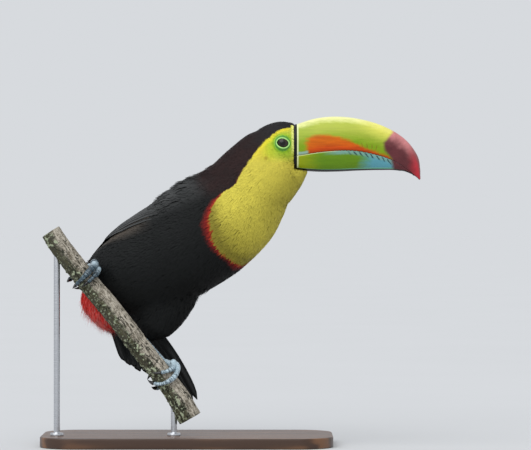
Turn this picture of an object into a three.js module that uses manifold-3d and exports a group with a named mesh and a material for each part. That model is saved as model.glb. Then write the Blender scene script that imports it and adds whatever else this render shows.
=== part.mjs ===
// A keel-billed toucan at life size, gripping a short cut length of branch on a display stand.
// Millimetres. +X is the way the bill points, +Z is up, and -Y is the side the bird shows.
// The origin is the middle of the underside of the stand's base.
import * as THREE from "three";
import { mergeVertices } from "three/addons/utils/BufferGeometryUtils.js";
import Module from "manifold-3d";

const wasm = await Module();
wasm.setup();

// Driving dimensions.
const GAP = 0.3; // between neighbouring solids
const BASE = { length: 330, width: 150, thick: 12, corner: 40, bevel: 1.5 };
const ROD_RADIUS = 3.5;
const ROD_HIGH_X = -146.9;
const ROD_LOW_X = -14.7;
const PERCH_Y = -22;
const PERCH_LENGTH = 259;
const BILL_Y = -20;
const EYE = { x: 107.9, z: 341.5, radius: 8.2, side: 17.6 };
const WING = { thick: 5.6, edge: 1.5, front: 0.27, tip: 0.98, reach: 97 };
const TAIL = { thickRoot: 9, thickTip: 1.4, feathers: 10, notch: 3.2 };
const CLAW = { length: 9.5, root: 1.9, tip: 0.35 };
const TARSUS_RADIUS = 3.1;
const PAD_RADIUS = 5.6;

// Stations along a form: middle x, y, z, half height in the upright plane, half width along Y.
// The torso's last number is the roll in degrees: how far the back turns away from the viewer.
const TORSO = [
  [110.7, -19, 337.9, 24.4, 18, 0],
  [100.6, -17, 326.6, 38.0, 31, 4],
  [79.1, -14, 304.0, 44.1, 38, 10],
  [66.1, -9, 285.9, 50.6, 44, 20],
  [53.7, -4, 270.3, 55.2, 50, 32],
  [38.8, 1, 256.7, 57.6, 53, 42],
  [18.8, 7, 241.0, 58.6, 54, 50],
  [-5.6, 12, 224.4, 57.2, 54, 56],
  [-27.0, 17, 212.6, 54.2, 52, 61],
  [-46.4, 21, 201.2, 50.6, 49, 66],
  [-65.8, 25, 189.0, 46.4, 44, 70],
  [-83.3, 29, 179.0, 40.6, 39, 74],
  [-96.8, 30, 168.6, 31.6, 32, 78],
  [-105.1, 28, 158.8, 21.0, 22, 80],
];
const HEAD = [
  [133.0, -20, 338.0, 21.6, 18.5],
  [124.0, -20, 337.8, 24.8, 20],
  [115.3, -20, 337.9, 27.0, 21.6],
  [105.1, -20, 337.3, 28.6, 23.6],
  [92.7, -19, 333.3, 28.0, 25.6],
  [79.1, -18, 326.6, 24.9, 25],
];
const CHIN = { x: 119, z: 315, long: 19, deep: 10, wide: 15, dip: 0.45 };
const BILL = [
  [120.6, BILL_Y, 337.5, 25.0, 19.5],
  [145.8, BILL_Y, 340.2, 29.6, 19],
  [169.5, BILL_Y, 341.4, 30.8, 18],
  [193.2, BILL_Y, 341.0, 27.9, 16],
  [215.3, BILL_Y, 337.9, 23.3, 13.5],
  [233.9, BILL_Y, 331.5, 17.9, 10.5],
  [248.6, BILL_Y, 322.0, 11.6, 7],
  [258.2, BILL_Y, 311.9, 6.3, 4],
  [263.9, BILL_Y, 302.2, 1.2, 1],
];
// The line of the mouth from the gape to the tip of the lower half.
const MOUTH = [
  [105, 327.0],
  [123.2, 327.7],
  [148.0, 331.3],
  [170.6, 333.3],
  [189.8, 333.0],
  [206.8, 330.2],
  [222.6, 326.1],
  [235.0, 320.9],
  [245.2, 314.7],
  [256.5, 304.0],
];
const THIGH_LEFT = [
  [-10.4, 16, 189.8, 27.0, 22],
  [-19.1, 16, 176.3, 32.2, 25],
  [-32.0, 14, 152.5, 30.6, 20],
  [-41.0, 12, 133.4, 23.4, 15],
  [-46.5, 10, 119.2, 14.0, 10],
];
const THIGH_RIGHT = [
  [-50.1, -2, 210.4, 21.0, 21],
  [-65.9, -6, 204.7, 22.0, 21],
  [-81.6, -6, 199.0, 17.0, 15],
  [-92.0, -5, 197.5, 9.5, 9],
];
// The perch: middle x, z and radius.
const PERCH = [
  [-153.7, 241.8, 11.5],
  [-139.4, 220.1, 12.3],
  [-123.4, 199.6, 12.4],
  [-106.9, 179.5, 12.3],
  [-90.2, 159.6, 12.4],
  [-74.0, 139.3, 12.3],
  [-58.0, 118.8, 12.2],
  [-42.0, 98.3, 12.2],
  [-26.0, 77.8, 12.2],
  [-10.1, 55.4, 12.9],
  [3.4, 31.6, 14.0],
];
// The feet: where each grips, as a share of the perch's length, and the joint of foot and tarsus.
const FEET = {
  right: { at: 0.245, heel: [-90, 6, 206], pad: [-104.5, -8, 197.5] },
  left: { at: 0.79, heel: [-52, 8, 122], pad: [-19.4, -6.5, 86.5] },
};
// Toes: sideways step along the perch at root, middle and end, angles round it, and radii.
// Angle 0 is the perch's upper right edge, 90 its near side, -90 its far side.
const TOES = {
  right: {
    front_outer: { step: [-5, -1, 1], turn: [-14, 140], radius: [4.3, 2.7], lift: 2.6 },
    front_inner: { step: [2.5, 6.5, 8], turn: [-14, 96], radius: [3.8, 2.5], lift: 1.4 },
    hind_outer: { step: [-5, -8, -8.5], turn: [-48, -158], radius: [3.8, 2.5], lift: 1.2 },
    hind_inner: { step: [4, 7, 6], turn: [-48, -128], radius: [3.4, 2.3], lift: 1.2 },
  },
  left: {
    front_outer: { step: [-4, 9.5, 0.5], turn: [-12, 146], radius: [4.0, 2.6], lift: 4.2 },
    front_inner: { step: [-11, -1.5, -4], turn: [-12, 88], radius: [3.6, 2.4], lift: 4.4 },
    hind_outer: { step: [4, 9, 7], turn: [-48, -158], radius: [3.6, 2.4], lift: 1.2 },
    hind_inner: { step: [-9, -10, -9], turn: [-52, -128], radius: [3.4, 2.3], lift: 1.2 },
  },
};
const COVERTS_UNDER = [
  [-107, 12, 174, 12, 10],
  [-106, 7, 160, 15.5, 11],
  [-97, 3, 142, 15.5, 8.5],
  [-85, 3, 126, 9, 5],
];
const COVERTS_UPPER = [
  [-100, 46, 176, 18, 10],
  [-92, 50, 160, 21, 10],
  [-80, 51, 142, 20, 7],
  [-70, 50, 128, 11, 3.5],
];

const RAD = Math.PI / 180;
const lerp = (a, b, t) => a + (b - a) * t;
const clamp01 = (t) => Math.min(1, Math.max(0, t));
const smooth = (t) => clamp01(t) ** 2 * (3 - 2 * clamp01(t));

// A smooth line through rows of numbers, read at a share t of its stations.
function track(rows) {
  const line = (columns) => {
    const points = rows.map((row) => new THREE.Vector3(...columns.map((c) => row[c] ?? 0)));
    return new THREE.CatmullRomCurve3(points, false, "catmullrom", 0.5);
  };
  const spine = line([0, 1, 2]);
  const sizes = line([3, 4, 5]);
  return {
    // Middle, half sizes, roll and the frame there: along, up (upright plane) and far (along Y).
    at(t) {
      const middle = spine.getPoint(t);
      const size = sizes.getPoint(t);
      const along = spine.getTangent(t);
      const far = new THREE.Vector3(0, 1, 0).addScaledVector(along, -along.y).normalize();
      const up = new THREE.Vector3().crossVectors(far, along);
      return { middle, half: size.x, wide: size.y, roll: size.z, along, up, far };
    },
    // A point on or off the surface: angle 0 is the upper edge, 90 degrees the near side.
    surface(t, angle, grow) {
      const f = this.at(t);
      return f.middle
        .addScaledVector(f.up, (f.half + grow) * Math.cos(angle))
        .addScaledVector(f.far, -(f.wide + grow) * Math.sin(angle));
    },
  };
}

// A closed form along a track: a sphere's rings become sections of the form, with round ends.
function loft(rows, around, rings, options = {}) {
  const { grow = 0, cap = [0, 0], square = 2, ripple = null } = options;
  const form = track(rows);
  const geometry = new THREE.SphereGeometry(1, around, rings);
  const position = geometry.attributes.position;
  for (let i = 0; i < position.count; i += 1) {
    const polar = Math.acos(THREE.MathUtils.clamp(position.getY(i), -1, 1)) / Math.PI;
    const pole = polar < 1e-4 || polar > 1 - 1e-4;
    const first = cap[0] > 0 ? 0 : 1 / rings;
    const last = cap[1] > 0 ? 1 : 1 - 1 / rings;
    const even = clamp01((polar - first) / (last - first));
    const crowd = (cap[0] > 0 ? 0.3 : 0) + (cap[1] > 0 ? 0.3 : 0);
    const t = clamp01(even - (crowd * Math.sin(2 * Math.PI * even)) / (2 * Math.PI));
    const start = cap[0] > 0 ? Math.sqrt(1 - (1 - clamp01(t / cap[0])) ** 2) : 1;
    const end = cap[1] > 0 ? Math.sqrt(1 - (1 - clamp01((1 - t) / cap[1])) ** 2) : 1;
    const shrink = pole ? 0 : start * end;
    const angle = Math.atan2(position.getZ(i), position.getX(i));
    const c = Math.sign(Math.cos(angle)) * Math.abs(Math.cos(angle)) ** (2 / square);
    const s = Math.sign(Math.sin(angle)) * Math.abs(Math.sin(angle)) ** (2 / square);
    const f = form.at(t);
    const wave = ripple ? ripple(t, angle) : 0;
    const high = shrink * (f.half + grow + wave);
    const wide = shrink * (f.wide + grow + wave);
    const point = f.middle
      .addScaledVector(f.along, (t < 0.5 ? -1 : 1) * grow * (1 - shrink))
      .addScaledVector(f.up, high * c)
      .addScaledVector(f.far, -wide * s);
    position.setXYZ(i, point.x, point.y, point.z);
  }
  return geometry;
}

// A three.js geometry as a solid that can be joined and cut, faces turned out.
function solid(geometry) {
  const bare = geometry.clone();
  bare.deleteAttribute("normal");
  bare.deleteAttribute("uv");
  const merged = mergeVertices(bare, 1e-3);
  const triVerts = new Uint32Array(merged.index.array);
  const vertProperties = new Float32Array(merged.attributes.position.array);
  const make = () => new wasm.Manifold(new wasm.Mesh({ numProp: 3, vertProperties, triVerts }));
  let made = make();
  if (made.volume() < 0) {
    for (let i = 0; i < triVerts.length; i += 3) {
      const first = triVerts[i];
      triVerts[i] = triVerts[i + 1];
      triVerts[i + 1] = first;
    }
    made = make();
  }
  return made;
}

// The largest connected piece of a solid, as a three.js geometry.
function geometryOf(form) {
  const pieces = form.decompose().sort((a, b) => b.volume() - a.volume());
  const mesh = pieces[0].getMesh();
  const geometry = new THREE.BufferGeometry();
  const count = mesh.vertProperties.length / mesh.numProp;
  const flat = new Float32Array(count * 3);
  for (let i = 0; i < count; i += 1) {
    for (let k = 0; k < 3; k += 1) {
      flat[i * 3 + k] = mesh.vertProperties[i * mesh.numProp + k];
    }
  }
  geometry.setAttribute("position", new THREE.BufferAttribute(flat, 3));
  geometry.setIndex([...mesh.triVerts]);
  const shown = geometry.toNonIndexed();
  shown.computeVertexNormals();
  return shown;
}

// A block that fills the space on one side of a plane.
function halfSpace(point, facing) {
  const size = 900;
  const box = new THREE.BoxGeometry(size, size, size);
  box.translate(0, 0, size / 2);
  const turn = new THREE.Quaternion().setFromUnitVectors(
    new THREE.Vector3(0, 0, 1),
    facing.clone().normalize(),
  );
  box.applyQuaternion(turn);
  box.translate(point.x, point.y, point.z);
  return solid(box);
}

const toucan = new THREE.Group();
const finishes = {
  black: { color: 0x14120f, roughness: 0.7 },
  maroon: { color: 0x3a1614, roughness: 0.75 },
  yellow: { color: 0xd9d24e, roughness: 0.8 },
  red: { color: 0xd23a2e, roughness: 0.8 },
  white: { color: 0xece9e0, roughness: 0.8 },
  billTop: { color: 0xa5c43c, roughness: 0.3 },
  billLow: { color: 0x5f9f3a, roughness: 0.3 },
  leg: { color: 0x8fa6b8, roughness: 0.55 },
  claw: { color: 0x26262a, roughness: 0.4 },
  eye: { color: 0x16100c, roughness: 0.08 },
  bark: { color: 0x7d7466, roughness: 0.95 },
  base: { color: 0x4a3a2c, roughness: 0.5 },
  rod: { color: 0x8c9096, roughness: 0.3, metalness: 0.9 },
};

function add(name, form, finish) {
  const geometry = form.isBufferGeometry ? form : geometryOf(form);
  const mesh = new THREE.Mesh(geometry, new THREE.MeshStandardMaterial(finishes[finish]));
  mesh.name = name;
  toucan.add(mesh);
}

// Stand and perch.
const perchRows = PERCH.map(([x, z, r]) => [x, PERCH_Y, z, r, r]);
const perchTrack = track(perchRows);
const bark = (t, angle) => 0.22 * Math.sin(31 * t + 2 * angle) * Math.sin(3 * angle + 9 * t);
const perch = solid(loft(perchRows, 14, 16, { ripple: bark }));
const perchClear = solid(loft(perchRows, 14, 16, { grow: 0.75 }));

function baseSolid() {
  const { length, width, thick, corner, bevel } = BASE;
  const x = length / 2 - bevel;
  const y = width / 2 - bevel;
  const outline = new THREE.Shape();
  outline.moveTo(x - corner, -y);
  outline.absarc(x - corner, -y + corner, corner, -Math.PI / 2, 0, false);
  outline.absarc(x - corner, y - corner, corner, 0, Math.PI / 2, false);
  outline.absarc(-x + corner, y - corner, corner, Math.PI / 2, Math.PI, false);
  outline.absarc(-x + corner, -y + corner, corner, Math.PI, 1.5 * Math.PI, false);
  const plate = new THREE.ExtrudeGeometry(outline, {
    depth: thick - 2 * bevel,
    bevelEnabled: true,
    bevelThickness: bevel,
    bevelSize: bevel,
    bevelSegments: 1,
    curveSegments: 4,
  });
  plate.translate(0, 0, bevel);
  return solid(plate);
}
add("stand_base", baseSolid(), "base");

function rod(x) {
  let near = 0;
  for (let t = 0; t <= 1; t += 0.002) {
    const here = Math.abs(perchTrack.at(t).middle.x - x);
    near = here < Math.abs(perchTrack.at(near).middle.x - x) ? t : near;
  }
  const top = perchTrack.at(near).middle.z;
  const bottom = BASE.thick + GAP;
  const post = new THREE.CylinderGeometry(ROD_RADIUS, ROD_RADIUS, top - bottom, 16);
  post.rotateX(Math.PI / 2);
  post.translate(x, PERCH_Y, (top + bottom) / 2);
  return solid(post).subtract(perchClear);
}
add("stand_rod_high", rod(ROD_HIGH_X), "rod");
add("stand_rod_low", rod(ROD_LOW_X), "rod");
add("perch", perch, "bark");

// Bill: one form, parted along the line of the mouth.
const billOptions = { square: 2.35, cap: [0, 0.07] };
const bill = solid(loft(BILL, 18, 16, billOptions));
const billClear = solid(loft(BILL, 18, 16, { ...billOptions, grow: GAP }));

function belowMouth(rise) {
  const shape = new THREE.Shape();
  const points = MOUTH.map(([x, z]) => new THREE.Vector2(x, z + rise));
  shape.moveTo(points[0].x, points[0].y);
  shape.splineThru(points.slice(1));
  shape.lineTo(points.at(-1).x, 270);
  shape.lineTo(points[0].x, 270);
  const slab = new THREE.ExtrudeGeometry(shape, { depth: 80, bevelEnabled: false, curveSegments: 2 });
  slab.rotateX(Math.PI / 2);
  slab.translate(0, BILL_Y + 40, 0);
  return solid(slab);
}
add("bill_upper", bill.subtract(belowMouth(GAP)), "billTop");
add("bill_lower", bill.intersect(belowMouth(0)), "billLow");

// Body: head, chin and torso joined, then parted where a person would name the pieces.
const headCap = { cap: [0.2, 0.3] };
const torsoCap = { cap: [0.09, 0.1] };
const torso = (grow) => solid(loft(TORSO, 24, 24, { ...torsoCap, grow }));
const chin = new THREE.SphereGeometry(1, 12, 8);
chin.scale(CHIN.long, CHIN.wide, CHIN.deep);
chin.rotateY(CHIN.dip);
chin.translate(CHIN.x, BILL_Y, CHIN.z);
const flesh = solid(loft(HEAD, 18, 9, headCap)).add(solid(chin)).add(torso(0));

const eyes = {};
for (const [side, sign] of [
  ["right", -1],
  ["left", 1],
]) {
  const ball = (radius) => {
    const sphere = new THREE.SphereGeometry(radius, 12, 8);
    sphere.translate(EYE.x, BILL_Y + sign * EYE.side, EYE.z);
    return solid(sphere);
  };
  eyes[side] = ball(EYE.radius);
  eyes[side + "Clear"] = ball(EYE.radius + GAP);
}
const billFace = new THREE.Vector3(BILL[0][0] - GAP, BILL_Y, BILL[0][2]);
const mouthSide = halfSpace(billFace, new THREE.Vector3(1, 0, 0));
const overChin = halfSpace(new THREE.Vector3(0, 0, 312.2), new THREE.Vector3(0, 0, 1));
const body = flesh
  .subtract(mouthSide.intersect(overChin))
  .subtract(billClear)
  .subtract(eyes.rightClear)
  .subtract(eyes.leftClear)
  .subtract(perchClear);

const cuts = {
  nape: [new THREE.Vector3(80.2, 0, 309.6), new THREE.Vector3(0.62, 0, 0.78)],
  shoulder: [new THREE.Vector3(39.6, 0, 264.4), new THREE.Vector3(0.72, 0, 0.69)],
  vent: [new THREE.Vector3(-78, 0, 183), new THREE.Vector3(0.85, 0, 0.52)],
};
function between(front, back) {
  let piece = body;
  if (front) {
    const [point, facing] = cuts[front];
    piece = piece.subtract(halfSpace(point, facing));
  }
  if (back) {
    const [point, facing] = cuts[back];
    piece = piece.intersect(halfSpace(point.clone().addScaledVector(facing, GAP), facing));
  }
  return piece;
}
add("head", between(null, "nape"), "yellow");
add("neck", between("nape", "shoulder"), "yellow");
add("trunk", between("shoulder", "vent"), "black");
add("rump", between("vent", null), "black");
add("eye_right", eyes.right, "eye");
add("eye_left", eyes.left, "eye");

// Wings: folded shells that lie on the torso, from the shoulder to the root of the tail.
const torsoTrack = track(TORSO);
const torsoClear = torso(GAP + 0.05);

function wing(sign) {
  const across = 7;
  const along = 12;
  const box = new THREE.BoxGeometry(2, 2, 2, across, along, 1);
  const position = box.attributes.position;
  for (let i = 0; i < position.count; i += 1) {
    const u = position.getX(i);
    const v = (1 - position.getY(i)) / 2;
    const outside = position.getZ(i) > 0;
    const t = lerp(WING.front, WING.tip, v);
    const front = Math.sqrt(1 - (1 - clamp01(v / 0.22)) ** 2 * 0.97);
    const rear = Math.sqrt(1 - clamp01((v - 0.55) / 0.45) ** 2 * 0.93);
    const upper = lerp(34, 5, smooth(v / 0.45));
    const lower = WING.reach;
    const middle = (upper + lower) / 2 - 12 * smooth((v - 0.6) / 0.4);
    const span = ((lower - upper) / 2) * front * rear;
    const angle = (sign * (middle + u * span) - torsoTrack.at(t).roll) * RAD;
    const rim = (1 - u ** 4) * front * Math.sqrt(rear);
    const rise = outside ? WING.edge + (WING.thick - WING.edge) * rim : 0;
    const point = torsoTrack.surface(t, angle, GAP + 0.9 + rise);
    position.setXYZ(i, point.x, point.y, point.z);
  }
  return solid(box).subtract(torsoClear).subtract(perchClear);
}

// Tail: a fan of broad feathers, each with a round end, thick at the root and thin at the tip.
const tailRoot = {
  low: new THREE.Vector3(-102, 26, 171),
  high: new THREE.Vector3(-84, 44, 178),
};
const tailTips = new THREE.CatmullRomCurve3([
  new THREE.Vector3(-74, 26, 96),
  new THREE.Vector3(-63, 24, 88),
  new THREE.Vector3(-52, 22, 83.5),
  new THREE.Vector3(-31, 21, 75),
  new THREE.Vector3(-6, 20, 56),
  new THREE.Vector3(12.6, 20, 50.5),
]);

// Middle line of the tail at u across (0 at the lower left edge, 1 at the right) and v along.
function tailPoint(u, v) {
  const root = tailRoot.low.clone().lerp(tailRoot.high, u);
  const tip = tailTips.getPoint(u);
  const lobe = Math.abs(Math.sin(Math.PI * TAIL.feathers * u));
  const reach = v * (1 - (TAIL.notch / tip.distanceTo(root)) * (1 - lobe) * v ** 6);
  const point = root.clone().lerp(tip, reach);
  const bulge = Math.sin(Math.PI * clamp01(v)) * u;
  point.x += 14.5 * bulge;
  point.z += 6.5 * bulge;
  point.y += 7 * Math.sin(Math.PI * clamp01(v)) + 3 * Math.sin(Math.PI * u) * v;
  return point;
}

function tail(grow) {
  const box = new THREE.BoxGeometry(1, 1, 1, 30, 4, 1);
  const position = box.attributes.position;
  for (let i = 0; i < position.count; i += 1) {
    const u = position.getX(i) + 0.5;
    const v = 0.5 - position.getY(i);
    const side = Math.sign(position.getZ(i));
    const thin = lerp(0.75, 1, Math.sin(Math.PI * u));
    const thick = thin * lerp(TAIL.thickRoot, TAIL.thickTip, Math.sqrt(v));
    const point = tailPoint(u, v);
    point.y += side * (thick / 2 + grow);
    position.setXYZ(i, point.x, point.y, point.z);
  }
  return solid(box);
}
const tailSolid = tail(0).subtract(torsoClear).subtract(perchClear);
const tailClear = tail(GAP);
add("tail", tailSolid, "black");

// Coverts: the plumes over and under the root of the tail.
const plume = (rows, grow) => solid(loft(rows, 12, 7, { cap: [0.25, 0.3], grow }));
const coverts = (rows) =>
  plume(rows, 0).subtract(torsoClear).subtract(tailClear).subtract(perchClear);
const underClear = plume(COVERTS_UNDER, GAP);
const upperClear = plume(COVERTS_UPPER, GAP);
add("tail_coverts_under", coverts(COVERTS_UNDER), "red");
add("tail_coverts_upper", coverts(COVERTS_UPPER), "white");

const thighCap = { cap: [0.2, 0.25] };
const thighForm = (rows, grow) => solid(loft(rows, 16, 9, { ...thighCap, grow }));
const thighsClear = { left: thighForm(THIGH_LEFT, GAP), right: thighForm(THIGH_RIGHT, GAP) };
for (const [side, sign] of [
  ["right", 1],
  ["left", -1],
]) {
  const folded = wing(sign).subtract(tailClear).subtract(upperClear).subtract(thighsClear[side]);
  add("wing_" + side, folded, "black");
}

// Legs: feathered thigh, bare tarsus, foot with two toes before and two behind, and claws.
const thighRows = { left: THIGH_LEFT, right: THIGH_RIGHT };

function gripPoint(at, step, degrees, lift) {
  const f = perchTrack.at(clamp01(at + step / PERCH_LENGTH));
  const angle = degrees * RAD;
  return f.middle
    .addScaledVector(f.up, -(f.half + lift) * Math.cos(angle))
    .addScaledVector(f.far, -(f.half + lift) * Math.sin(angle));
}

function toeRows(foot, toe) {
  const [a, b, c] = toe.step;
  const rows = [];
  const count = 8;
  for (let i = 0; i <= count; i += 1) {
    const v = i / count;
    const joint = 0.28 * Math.cos(4 * Math.PI * v);
    const radius = lerp(toe.radius[0], toe.radius[1], v) + joint;
    const step = (1 - v) * (1 - v) * a + 2 * v * (1 - v) * (2 * b - (a + c) / 2) + v * v * c;
    const degrees = lerp(toe.turn[0], toe.turn[1], v);
    const p = gripPoint(foot.at, step, degrees, radius + 0.95 + toe.lift * (1 - v) ** 2);
    rows.push([p.x, p.y, p.z, radius, radius]);
  }
  return rows;
}

// A claw goes on from the toe's end and curls round the perch as it narrows.
function claw(rows) {
  const end = new THREE.Vector3(...rows.at(-1).slice(0, 3));
  const before = new THREE.Vector3(...rows.at(-2).slice(0, 3));
  const ahead = end.clone().sub(before).normalize();
  const turned = before.clone().sub(new THREE.Vector3(...rows.at(-3).slice(0, 3))).normalize();
  const curl = ahead.clone().sub(turned).normalize();
  const path = [];
  for (let i = 0; i <= 5; i += 1) {
    const v = i / 5;
    const p = end
      .clone()
      .addScaledVector(ahead, CLAW.length * v)
      .addScaledVector(curl, 2.6 * v * v);
    const radius = lerp(CLAW.root, CLAW.tip, v ** 1.3);
    path.push([p.x, p.y, p.z, radius * 1.15, radius]);
  }
  return solid(loft(path, 6, 5, { cap: [0.12, 0.12] }));
}

for (const [side, foot] of Object.entries(FEET)) {
  const thighClear = thighsClear[side];
  const clearOfBody = thighForm(thighRows[side], 0)
    .subtract(torsoClear)
    .subtract(perchClear)
    .subtract(tailClear)
    .subtract(underClear);
  add("thigh_" + side, clearOfBody, "black");

  const [hx, hy, hz] = foot.heel;
  const [px, py, pz] = foot.pad;
  const shank = [0, 0.3, 0.6, 0.85, 1].map((v) => {
    const radius = TARSUS_RADIUS + (v > 0.8 ? 0.5 : 0);
    return [lerp(hx, px, v), lerp(hy, py, v), lerp(hz, pz, v), radius, radius];
  });
  const padForm = (grow) => {
    const pad = new THREE.SphereGeometry(PAD_RADIUS + grow, 9, 6);
    pad.translate(px, py, pz);
    return solid(pad);
  };
  let grip = padForm(0);
  let gripClear = padForm(1.5 * GAP);
  const claws = [];
  for (const [name, toe] of Object.entries(TOES[side])) {
    const rows = toeRows(foot, toe);
    claws.push([name, claw(rows)]);
    const thick = toe.radius[0] + 0.3;
    const link = [[px, py, pz], rows[0], rows[1]].map(([x, y, z]) => [x, y, z, thick, thick]);
    const toeForm = (grow) => {
      const knuckle = solid(loft(link, 6, 4, { cap: [0.2, 0.2], grow }));
      return solid(loft(rows, 7, 8, { cap: [0.07, 0.07], grow })).add(knuckle);
    };
    grip = grip.add(toeForm(0));
    gripClear = gripClear.add(toeForm(1.5 * GAP));
  }
  for (const [name, form] of claws) {
    add("claw_" + side + "_" + name, form.subtract(gripClear).subtract(perchClear), "claw");
  }
  const held = grip.subtract(perchClear).subtract(thighClear).subtract(torsoClear);
  add("foot_" + side, held.subtract(underClear), "leg");
  const tarsus = solid(loft(shank, 10, 5, { cap: [0.06, 0.06] }))
    .subtract(gripClear)
    .subtract(grip)
    .subtract(thighClear)
    .subtract(torsoClear)
    .subtract(perchClear)
    .subtract(tailClear);
  add("tarsus_" + side, tarsus, "leg");
}

export default toucan;
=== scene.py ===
"""The looks of a life-size keel-billed toucan that grips a cut length of branch on a display stand.

Lengths inside the shape functions are millimetres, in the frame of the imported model: +X is the
way the bill points, +Z is up and -Y is the side the bird shows. They become metres in make_mesh.
"""

import bpy
import numpy as np
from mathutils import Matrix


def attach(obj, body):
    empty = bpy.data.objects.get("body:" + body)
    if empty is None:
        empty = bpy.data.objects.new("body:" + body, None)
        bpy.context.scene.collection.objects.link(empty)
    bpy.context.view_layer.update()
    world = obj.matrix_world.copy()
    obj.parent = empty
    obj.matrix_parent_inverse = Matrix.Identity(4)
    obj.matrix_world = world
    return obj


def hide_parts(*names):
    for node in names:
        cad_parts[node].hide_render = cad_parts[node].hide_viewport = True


bl_info = {
    "name": "Toucan on a Perch",
    "version": (1, 0, 0),
    "blender": (4, 5, 0),
    "location": "View3D > Sidebar > Toucan",
    "description": "Builds the skin, feathers, bill, feet, perch and stand round the packed model",
    "category": "Object",
}

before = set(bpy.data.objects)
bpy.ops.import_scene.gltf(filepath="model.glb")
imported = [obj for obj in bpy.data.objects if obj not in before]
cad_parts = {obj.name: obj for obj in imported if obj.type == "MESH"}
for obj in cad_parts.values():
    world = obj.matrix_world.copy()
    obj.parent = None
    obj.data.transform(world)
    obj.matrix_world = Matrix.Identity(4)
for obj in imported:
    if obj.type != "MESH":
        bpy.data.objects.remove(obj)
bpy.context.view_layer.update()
MM = 0.001
SEED = 11

# ---------------- the body's stations

# Middle x, y, z, half height in the upright plane, half width along Y and, for the torso,
# the roll in degrees: how far the back turns away from the viewer.
TORSO = [
    [110.7, -19, 337.9, 24.4, 18, 0],
    [100.6, -17, 326.6, 37.4, 31, 4],
    [79.1, -14, 304.0, 44.9, 38, 10],
    [66.1, -9, 285.9, 50.6, 44, 20],
    [53.7, -4, 270.3, 55.2, 50, 32],
    [38.8, 1, 256.7, 57.6, 53, 42],
    [18.8, 7, 241.0, 58.6, 54, 50],
    [-5.6, 12, 224.4, 57.2, 54, 56],
    [-27.2, 17, 213.0, 54.7, 52, 61],
    [-47.3, 21, 202.6, 52.1, 49, 66],
    [-67.0, 25, 190.8, 48.6, 44, 70],
    [-84.5, 29, 180.8, 42.9, 39, 74],
    [-97.6, 30, 169.6, 32.9, 32, 78],
    [-105.1, 28, 158.8, 21.0, 22, 80],
]
HEAD = [
    [133.0, -20, 338.0, 21.6, 18.5],
    [124.0, -20, 337.8, 24.8, 20],
    [115.3, -20, 338.3, 27.4, 21.6],
    [105.1, -20, 337.5, 28.8, 23.6],
    [92.7, -19, 332.6, 27.9, 25.6],
    [79.1, -18, 325.8, 24.6, 25],
    [64.0, -14, 308.0, 22.0, 24],
]
THROAT = [
    [136.9, -20, 316.4, 4.0, 6],
    [123.2, -20, 308.8, 12.0, 13],
    [114.1, -20, 303.2, 16.8, 16],
    [105.8, -19, 298.0, 19.8, 19.5],
    [98.7, -18, 293.2, 22.3, 23],
    [90.5, -17, 282.8, 24.3, 26],
]
THIGH_LEFT = [
    [-10.4, 16, 189.8, 27.0, 22],
    [-19.1, 16, 176.3, 32.2, 25],
    [-32.0, 14, 152.5, 30.6, 20],
    [-41.0, 12, 133.4, 23.4, 15],
    [-46.5, 10, 119.2, 14.0, 10],
]
THIGH_RIGHT = [
    [-50.1, 4, 210.4, 20.0, 19],
    [-65.9, 0, 204.7, 21.0, 19],
    [-81.6, -3, 199.0, 16.5, 14],
    [-92.0, -4, 197.5, 9.5, 9],
]
COVERTS_UNDER = [
    [-109, 12, 182, 11.6, 10],
    [-107.6, 7, 164, 13.2, 10],
    [-97, 3, 146.5, 10.2, 7.5],
    [-85, 3, 130.5, 6, 5],
]
COVERTS_UPPER = [
    [-100, 46, 176, 18, 10],
    [-92, 50, 160, 21, 10],
    [-80, 51, 142, 20, 7],
    [-70, 50, 128, 11, 3.5],
]
BILL_Y = -20
FAR = np.array([0.0, 1.0, 0.0])  # the way to the side that the bird doesn't show
STEEPEST = 2.5  # the steepest taper that a form's own normal follows
THINNEST = 0.3  # the least half size that a form is reckoned with
BATCH = 20000  # how many points are placed at once, to spare memory
EYE = {"x": 107.9, "z": 341.5, "radius": 8.2, "side": 17.6, "bare": 9.6}
WING = {"thick": 4.7, "edge": 1.5, "front": 0.27, "tip": 0.98, "reach": 97, "gap": 1.2}


# ---------------- numbers and lines

def unit(vectors):
    """Each vector divided by its length."""
    return vectors / np.maximum(np.linalg.norm(vectors, axis=-1, keepdims=True), 1e-9)


def dot(a, b):
    """The sum of the products of two rows of vectors, kept as a column."""
    return np.sum(a * b, axis=-1, keepdims=True)


def ease(x, low=0.0, high=1.0):
    """0 below low and 1 above high, and between them the smooth step 3w^2 - 2w^3."""
    w = np.clip((x - low) / (high - low), 0, 1)
    return w * w * (3 - 2 * w)


def lerp(a, b, w):
    """The straight blend of a and b."""
    return a + (b - a) * w


def smooth_line(rows, shares):
    """A Catmull-Rom line read at shares of its stations: each stretch is the cubic whose slope
    at a station is half the chord between the stations on its two sides."""
    rows = np.asarray(rows, float)
    spread = np.vstack([2 * rows[0] - rows[1], rows, 2 * rows[-1] - rows[-2]])
    place = np.clip(shares, 0, 1) * (len(rows) - 1)
    i = np.minimum(place.astype(int), len(rows) - 2)
    w = (place - i)[..., None]
    a, b, c, d = (spread[i + k] for k in range(4))
    return (
        (2 * w**3 - 3 * w**2 + 1) * b
        + (w**3 - 2 * w**2 + w) * (c - a) / 2
        + (3 * w**2 - 2 * w**3) * c
        + (w**3 - w**2) * (d - b) / 2
    )


def full_turn(count):
    """Even angles round a whole turn, less the last one, which would be the first again."""
    return np.linspace(0, 2 * np.pi, count, endpoint=False)


def arc_along(line):
    """The distance along a line of points, from 0 at the first."""
    return np.append(0, np.cumsum(np.linalg.norm(np.diff(line, axis=0), axis=1)))


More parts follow.
